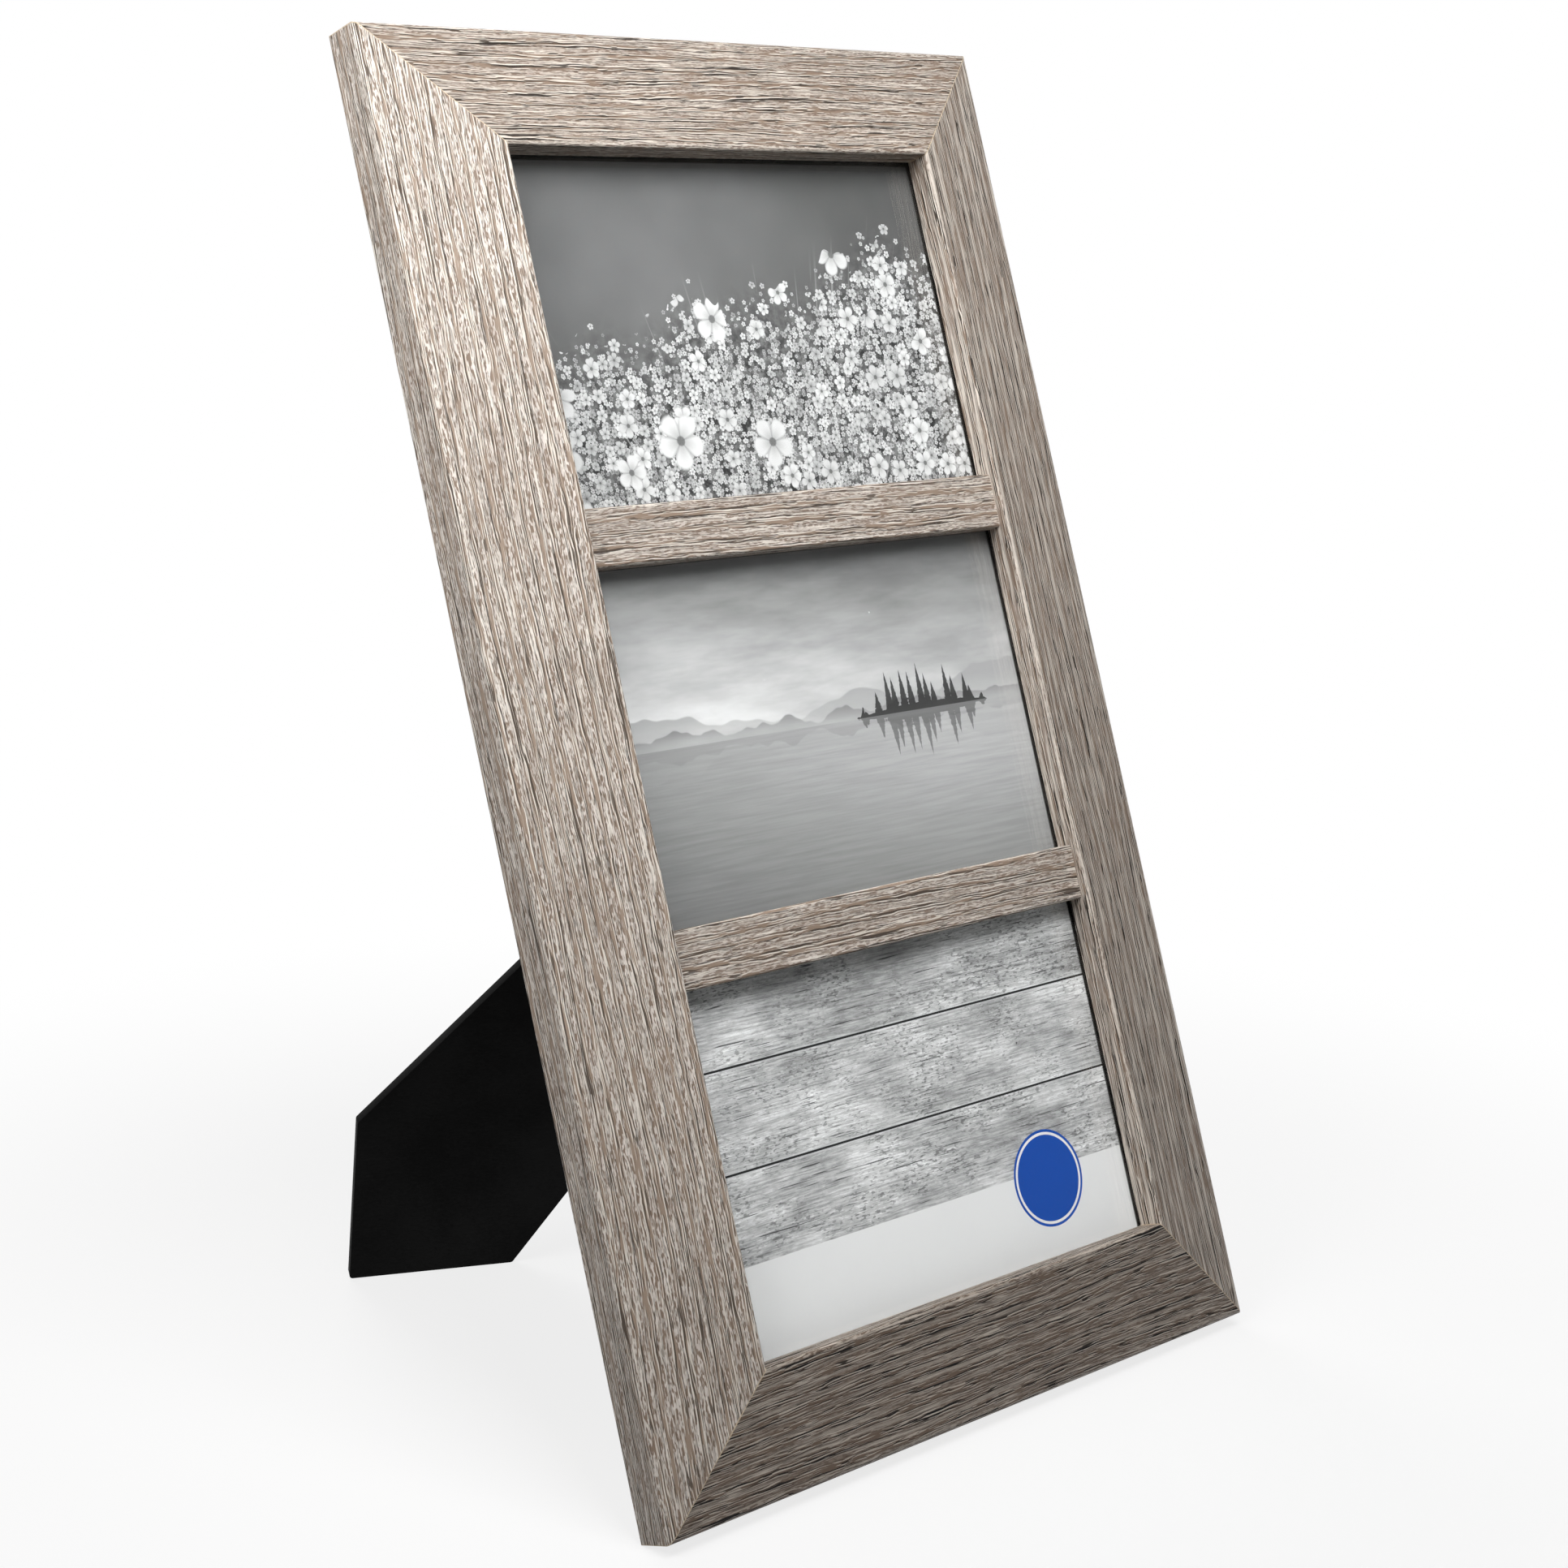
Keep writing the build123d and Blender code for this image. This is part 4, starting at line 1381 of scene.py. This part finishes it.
@dataclass
class Moulding:
    """The four mitred lengths of foil-wrapped moulding, and the two bars between the windows."""

    stance: Stance
    foil: bpy.types.Material
    core: bpy.types.Material
    side_height: float = 11.2 * MM
    face_rise: float = 7.3 * MM
    lip: float = 7.15 * MM
    outer_round: float = 2.0 * MM
    sight_round: float = 0.8 * MM
    back_round: float = 0.35 * MM
    back_wrap: float = 4.0 * MM
    back_sunk: float = 0.04 * MM
    fine_step: float = 0.42 * MM
    coarse_step: float = 4.0 * MM
    station: float = 1.3 * MM
    relief: float = 0.1 * MM
    bar_overlap: float = 0.3 * MM
    seed_step: float = 40.0
    # Painted light level of the bars and of each member: brightest on the left stile, which faces the lamps,
    # and darkest on the bottom rail, which faces down.
    bar_light: float = 1.0
    bar_pebbling: float = 0.8
    member_light: dict[str, float] = field(default_factory=lambda: {
        "left_stile": 1.1, "right_stile": 0.74, "top_rail": 0.77, "bottom_rail": 0.48,
    })
    # Pebble contrast of each member: full on the left stile, which catches the sheen, and flattened on the
    # others. This is partly painted light.
    pebbling: dict[str, float] = field(default_factory=lambda: {
        "left_stile": 1.0, "right_stile": 0.2, "top_rail": 0.75, "bottom_rail": 0.5,
    })

    def side(self) -> bpy.types.Mesh:
        """Draw the moulding's section: low at the outside, rising to the sight edge, with a rebate behind.

        Returns:
            The section as a loop of edges.
        """
        low, high = self.stance.box("left_stile")
        width = high.x - low.x
        front = self.side_height + self.face_rise
        rebate = -self.stance.box("glass_pane")[0].y
        wall = width - self.lip
        fine, coarse, back = self.fine_step, self.coarse_step, self.back_sunk
        return section("moulding_section", (
            Corner(back, self.back_wrap, 0.0, fine, True),
            Corner(back, 0.0, self.back_round, fine, True),
            Corner(self.side_height, 0.0, self.outer_round, fine, True),
            Corner(front, width, self.sight_round, fine, True),
            Corner(rebate, width, self.back_round, fine, True),
            Corner(rebate, width - self.back_wrap, 0.0, coarse, False),
            Corner(rebate, wall, 0.0, coarse, False),
            Corner(back, wall, 0.0, coarse, False),
        ))

    def lengths(self) -> dict[str, tuple[float, Matrix]]:
        """Measure the members.

        Returns:
            Each member's length and its place in the upright drawing.
        """
        low, high = self.stance.box("left_stile", "right_stile")
        width, height = high.x - low.x, high.z
        turn = {quarter: Matrix.Rotation(quarter * pi / 2, 4, "Y") for quarter in (1, 2, 3)}
        return {
            "bottom_rail": (width, Matrix.Identity(4)),
            "left_stile": (height, Matrix.Translation((low.x, 0.0, height / 2)) @ turn[1]),
            "top_rail": (width, Matrix.Translation((0.0, 0.0, height)) @ turn[2]),
            "right_stile": (height, Matrix.Translation((high.x, 0.0, height / 2)) @ turn[3]),
        }

    def bar(self, node: str) -> tuple[bpy.types.Mesh, float, Matrix]:
        """Draw a bar.

        Args:
            node: the bar's CAD node.

        Returns:
            Its section, its length and its place in the upright drawing.
        """
        low, high = self.stance.box(node)
        half = (high.z - low.z) / 2
        fine, coarse, sight = self.fine_step, self.coarse_step, self.sight_round
        mesh = section(node + "_section", (
            Corner(-high.y, -half, 0.0, fine, True),
            Corner(-low.y, -half, sight, fine, True),
            Corner(-low.y, half, sight, fine, True),
            Corner(-high.y, half, 0.0, coarse, False),
        ))
        opening = self.stance.box("right_stile")[0].x - self.stance.box("left_stile")[1].x
        return mesh, opening + 2 * self.bar_overlap, Matrix.Translation((0.0, 0.0, (low.z + high.z) / 2))

    def build(self) -> None:
        """Sweep every member and bar."""
        tree = sweep_tree()
        work = [(node, self.side(), length, place, 1.0) for node, (length, place) in self.lengths().items()]
        work += [(node, *self.bar(node), 0.0) for node in ("upper_crossbar", "lower_crossbar")]
        for number, (node, outline, length, place, mitre) in enumerate(work, 1):
            mesh = grown(node + "_sweep", outline, tree, {
                "Length": length, "Stations": ceil(length / self.station), "Mitre": mitre,
                "Relief": self.relief, "Seed": self.seed_step * number,
                "Member Light": self.member_light.get(node, self.bar_light),
                "Pebbling": self.pebbling.get(node, self.bar_pebbling),
                "Foil": self.foil, "Core": self.core,
            })
            piece = stand("foil_" + node, mesh, self.stance.matrix @ place)
            settle(piece, Body.FRAME.value, Slot.FOIL, node)


@dataclass
class PictureStack:
    """The glass, the three prints and the card behind them."""

    stance: Stance
    effects: Effects
    glass: bpy.types.Material
    card: bpy.types.Material
    glass_play: float = 0.04 * MM
    ground_edge: float = 0.3 * MM

    def build(self) -> None:
        """Build the glass and dress the rest."""
        low, high = self.stance.box("glass_pane")
        low.y += self.glass_play
        high.y -= self.glass_play
        form = bmesh.new()
        size = Matrix.Diagonal((*(high - low), 1.0))
        bmesh.ops.create_cube(form, size=1.0, matrix=Matrix.Translation((low + high) / 2) @ size)
        bmesh.ops.bevel(form, geom=list(form.edges), offset=self.ground_edge, segments=2, affect="EDGES")
        mesh = meshed("glass_pane", form)
        mesh.materials.append(self.glass)
        pane = stand("ground_glass_pane", mesh, self.stance.matrix)
        settle(pane, Body.FRAME.value, Slot.GLASS, "glass_pane")
        for finish in (
            BlossomPrint(self.effects, self.stance, "upper_print", "blossom_print"),
            LakePrint(self.effects, self.stance, "middle_print", "lake_print"),
            BoardPrint(self.effects, self.stance, "lower_print", "board_print"),
        ):
            dress(finish.node, finish.build())
        dress("filler_pad", self.card)


@dataclass
class BackAndLeg:
    """The back board, the leg, and the hinge between them."""

    paper: bpy.types.Material
    steel: bpy.types.Material
    fasteners: Fasteners
    board_edge: float = 0.3 * MM
    leg_edge: float = 0.45 * MM
    leaf_edge: float = 0.18 * MM
    rivet_radius: float = 2.5 * MM
    rivet_height: float = 0.9 * MM
    rivet_shank: float = 1.15 * MM
    rivet_depth: float = 2.0 * MM
    rivet_spread: float = 14.0 * MM
    rivet_row: float = 11.0 * MM
    board_leaf_top: float = -1.55 * MM
    leg_leaf_top: float = 1.85 * MM
    rivet_seed: int = 5

    def hinge(self) -> tuple[Matrix, Matrix]:
        """Read the hinge.

        Returns:
            Its frame on the board and on the leg as it stands: X along the pin, Z away from the board.
        """
        joints = {joint["name"]: joint for joint in frame["joints"]}
        along = Vector(joints["leg_hinge"]["axis"]).normalized()
        out = Vector(joints["top_button_turn"]["axis"]).normalized()
        board = Matrix((along, out.cross(along), out)).transposed().to_4x4()
        board.translation = Vector(joints["leg_hinge"]["pos_m"])
        return board, board @ Matrix.Rotation(radians(-min(joints["leg_hinge"]["range_deg"])), 4, "X")

    def rivet(self, name: str) -> bpy.types.Object:
        """Turn a rivet: a low dome with a pressed dimple.

        Args:
            name: the template's name.

        Returns:
            The template.
        """
        r, h, shank = self.rivet_radius, self.rivet_height, self.rivet_shank
        return lathe(name, (
            (0.0, -self.rivet_depth), (shank, -self.rivet_depth), (shank, 0.0), (r, 0.0), (r, 0.18 * h),
            (0.93 * r, 0.42 * h), (0.78 * r, 0.72 * h), (0.6 * r, 0.92 * h), (0.44 * r, h),
            (0.36 * r, 0.97 * h), (0.28 * r, 0.7 * h), (0.12 * r, 0.55 * h), (0.0, 0.52 * h),
        ))

    def build(self) -> None:
        """Build the board, the leg, the leaves, the pin and the rivets."""
        pieces = (
            ("papered_back_board", "back_board", self.board_edge, self.paper, Body.FRAME, Slot.BOARD),
            ("papered_easel_leg", "easel_leg", self.leg_edge, self.paper, Body.LEG, Slot.BOARD),
            ("steel_board_leaf", "hinge_board_leaf", self.leaf_edge, self.steel, Body.FRAME, Slot.STEEL),
            ("steel_leg_leaf", "hinge_leg_leaf", self.leaf_edge, self.steel, Body.LEG, Slot.STEEL),
            ("steel_hinge_pin", "hinge_pin", self.leaf_edge, self.steel, Body.FRAME, Slot.STEEL),
        )
        for name, node, edge, material, body, slot in pieces:
            softened(name, node, edge, material, body.value, slot)
        board, leg = self.hinge()
        rows = (
            ("board_rivets", board, -self.rivet_row, self.board_leaf_top, Body.FRAME),
            ("leg_rivets", leg, self.rivet_row, self.leg_leaf_top, Body.LEG),
        )
        half = self.rivet_spread / 2
        for node, place, row, top, body in rows:
            spots = [Vector((x, row, top)) for x in (-half, half)]
            self.fasteners.set(node, self.rivet(node + "_template"), spots, place, body, self.rivet_seed)


@dataclass
class TurnButtons:
    """The six turn buttons that hold the board in, and their screws."""

    stance: Stance
    steel: bpy.types.Material
    fasteners: Fasteners
    edge: float = 0.25 * MM
    head_radius: float = 2.9 * MM
    head_base: float = 1.2 * MM
    head_height: float = 1.9 * MM
    shank_radius: float = 1.3 * MM
    shank_length: float = 9.0 * MM
    point_length: float = 2.0 * MM
    slot: tuple[float, float, float] = (3.4 * MM, 0.8 * MM, 0.9 * MM)
    screw_seed: int = 11

    def screw(self) -> bpy.types.Object:
        """Turn a pan-head screw and sink its cross slot.

        Returns:
            The template.
        """
        r, base, h = self.head_radius, self.head_base, self.head_height
        shank, end = self.shank_radius, -self.shank_length
        screw = lathe("screw_template", (
            (0.0, end), (shank, end + self.point_length), (shank, base),
            (r, base), (r, base + 0.35 * h), (0.95 * r, base + 0.6 * h), (0.82 * r, base + 0.8 * h),
            (0.62 * r, base + 0.93 * h), (0.35 * r, base + 0.99 * h), (0.0, base + h),
        ))
        self.fasteners.cross_cut(screw, base + h, self.slot)
        return screw

    def build(self) -> None:
        """Build each button on its own body, and the screws on the frame."""
        upright = self.stance.matrix.inverted()
        spots = []
        for joint in frame["joints"]:
            if not joint["name"].endswith("_button_turn"):
                continue
            node = joint["name"].replace("_button_turn", "_turn_button")
            softened("steel_" + node, node, self.edge, self.steel, node, Slot.STEEL)
            pivot = upright @ Vector(joint["pos_m"])
            spots.append(Vector((pivot.x, -pivot.z, 0.0)))
        place = self.stance.back
        self.fasteners.set("button_screws", self.screw(), spots, place, Body.FRAME, self.screw_seed)


@dataclass
class Hangers:
    """The two sawtooth hangers with their nails, and the nails across the mitres."""

    stance: Stance
    steel: bpy.types.Material
    fasteners: Fasteners
    edge: float = 0.12 * MM
    pad: float = 7.0 * MM
    thickness: float = 0.7 * MM
    nail_radius: float = 1.6 * MM
    nail_head: float = 0.6 * MM
    nail_shank: float = 0.65 * MM
    nail_length: float = 7.0 * MM
    point_length: float = 1.5 * MM
    nail_sides: int = 24
    nail_seed: int = 3

    def nail(self) -> bpy.types.Object:
        """Turn a nail with a flat head.

        Returns:
            The template.
        """
        r, h, shank, end = self.nail_radius, self.nail_head, self.nail_shank, -self.nail_length
        return lathe("nail_template", (
            (0.0, end), (shank, end + self.point_length), (shank, 0.0), (r, 0.0), (r, 0.55 * h),
            (0.9 * r, 0.85 * h), (0.7 * r, h), (0.3 * r, 0.96 * h), (0.0, 0.95 * h),
        ), self.nail_sides)

    def build(self) -> None:
        """Build the hangers, set their nails and dress the mitre nails."""
        spots = []
        for node in ("portrait_hanger", "landscape_hanger"):
            softened("steel_" + node, node, self.edge, self.steel, Body.FRAME.value, Slot.STEEL)
            low, high = self.stance.box(node)
            long = 0 if high.x - low.x > high.z - low.z else 2
            for place in (low[long] + self.pad / 2, high[long] - self.pad / 2):
                spot = (low + high) / 2
                spot[long] = place
                spots.append(Vector((spot.x, -spot.z, self.thickness)))
        self.fasteners.set("hanger_nails", self.nail(), spots, self.stance.back, Body.FRAME, self.nail_seed)
        dress("corner_v_nails", self.steel)


class Lamp(NamedTuple):
    """A soft box: its place and side in metres, its power in watts, and its spread in degrees."""

    name: str
    place: tuple[float, float, float]
    size: float
    power: float
    spread: float
    glint: bool = True


@dataclass
class Studio:
    """The camera at the photograph's viewing angle, soft light, and a pale floor."""

    place: tuple[float, float, float] = (-0.48846, -0.54764, 0.30908)
    turn: tuple[float, float, float] = (79.1965, -1.127, -43.4639)
    lens: float = 65.831
    sensor: float = 36.0
    shift: tuple[float, float] = (-0.03444, -0.04797)
    near: float = 0.01
    aim: Vector = field(default_factory=lambda: Vector((0.0, 0.0, 0.3)))
    lamps: tuple[Lamp, ...] = (
        Lamp("key_box", (-0.1, -0.32, 0.7), 0.35, 1.1, 102.0),
        Lamp("side_box", (-0.45, -0.08, 0.55), 0.35, 0.76, 100.0),
        Lamp("front_box", (0.12, -0.7, 0.62), 0.25, 0.14, 70.0, glint=False),
        Lamp("back_box", (0.15, 0.6, 0.5), 0.4, 1.2, 130.0),
    )
    world_level: float = 0.03
    front_level: float = 0.12
    floor_reach: float = 6.0
    floor_shown: float = 1.0
    floor_bounce: float = 0.2

    def camera(self) -> None:
        """Set up the camera."""
        data = bpy.data.cameras.new("photo_camera")
        data.sensor_fit = "HORIZONTAL"
        data.sensor_width = self.sensor
        data.lens = self.lens
        data.shift_x, data.shift_y = self.shift
        data.clip_start = self.near
        thing = linked("photo_camera", data)
        thing.location = self.place
        thing.rotation_euler = [radians(angle) for angle in self.turn]
        bpy.context.scene.camera = thing

    def hang(self, lamp: Lamp) -> None:
        """Hang a lamp that faces the upper part of the frame.

        Args:
            lamp: the lamp, whose glint says whether it is mirrored in what it lights.
        """
        data = bpy.data.lights.new(lamp.name, "AREA")
        data.shape = "SQUARE"
        data.size = lamp.size
        data.energy = lamp.power
        data.spread = radians(lamp.spread)
        thing = linked(lamp.name, data)
        thing.visible_glossy = lamp.glint
        thing.visible_transmission = lamp.glint
        thing.location = lamp.place
        thing.rotation_euler = (self.aim - Vector(lamp.place)).to_track_quat("-Z", "Y").to_euler()

    def world(self) -> None:
        """Light the room evenly, and show it white, but dim where the frame mirrors the side it faces."""
        world = bpy.data.worlds.new("white_room")
        bpy.context.scene.world = world
        world.use_nodes = True
        graph = Graph(world.node_tree)
        path = graph.outs("ShaderNodeLightPath")
        direct = path["Diffuse Depth"] < 0.5
        straight = direct * (path["Glossy Depth"] < 0.5)
        seen = path["Is Camera Ray"].most(path["Is Transmission Ray"] * straight)
        _, deep, _ = graph.parts(graph.out("ShaderNodeTexCoord", None, "Generated"))
        mirrored = graph.step(deep, -0.45, 0.1, self.front_level, 1.0)
        level = graph.blend(path["Is Glossy Ray"] * direct, self.world_level, mirrored)
        feeds = {"Color": grey(1.0), "Strength": graph.blend(seen, level, 1.0)}
        graph.add("ShaderNodeOutputWorld", {"Surface": graph.out("ShaderNodeBackground", feeds)})

    def floor(self) -> None:
        """Lay a pale floor that keeps the object's shadow and fades into the white of the room."""
        reach = self.floor_reach
        mesh = bpy.data.meshes.new("pale_floor")
        corners = [(-reach, -reach, 0.0), (reach, -reach, 0.0), (reach, reach, 0.0), (-reach, reach, 0.0)]
        mesh.from_pydata(corners, [], [(0, 1, 2, 3)])
        material = bpy.data.materials.new("pale_floor")
        material.use_nodes = True
        graph = Graph(material.node_tree)
        place = graph.out("ShaderNodeTexCoord", None, "Object")
        far = graph.step(graph.vector("LENGTH", place), 0.15, 0.42, 0.78, 1.0)
        path = graph.outs("ShaderNodeLightPath")
        seen = path["Is Camera Ray"].most(path["Is Transmission Ray"]).most(path["Is Glossy Ray"])
        shade = graph.paint(seen, grey(self.floor_bounce), grey(self.floor_shown))
        matt = graph.out("ShaderNodeBsdfDiffuse", {"Color": shade})
        white = graph.out("ShaderNodeEmission", {"Color": grey(1.0), "Strength": 1.0})
        graph.add("ShaderNodeOutputMaterial", {"Surface": graph.either(seen * far, matt, white)})
        mesh.materials.append(material)
        linked("pale_floor", mesh)

    def build(self) -> None:
        """Set up the whole studio."""
        bpy.context.scene.view_settings.view_transform = "Standard"
        self.camera()
        for lamp in self.lamps:
            self.hang(lamp)
        self.world()
        self.floor()


def main() -> None:
    """Build every sub-assembly in order."""
    logging.basicConfig(level=logging.INFO, format="%(name)s: %(message)s")
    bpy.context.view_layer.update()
    effects = Effects()
    stance = Stance.from_frame("left_stile", "top_button_turn")
    steel = SteelFinish(effects).build()
    fasteners = Fasteners(steel)
    Moulding(stance, FoilFinish(effects).build(), CoreFinish(effects).build()).build()
    PictureStack(stance, effects, GlassFinish(effects).build(), CardFinish(effects).build()).build()
    BackAndLeg(BlackPaperFinish(effects).build(), steel, fasteners).build()
    TurnButtons(stance, steel, fasteners).build()
    Hangers(stance, steel, fasteners).build()
    Studio().build()


if __name__ == "__main__":
    main()
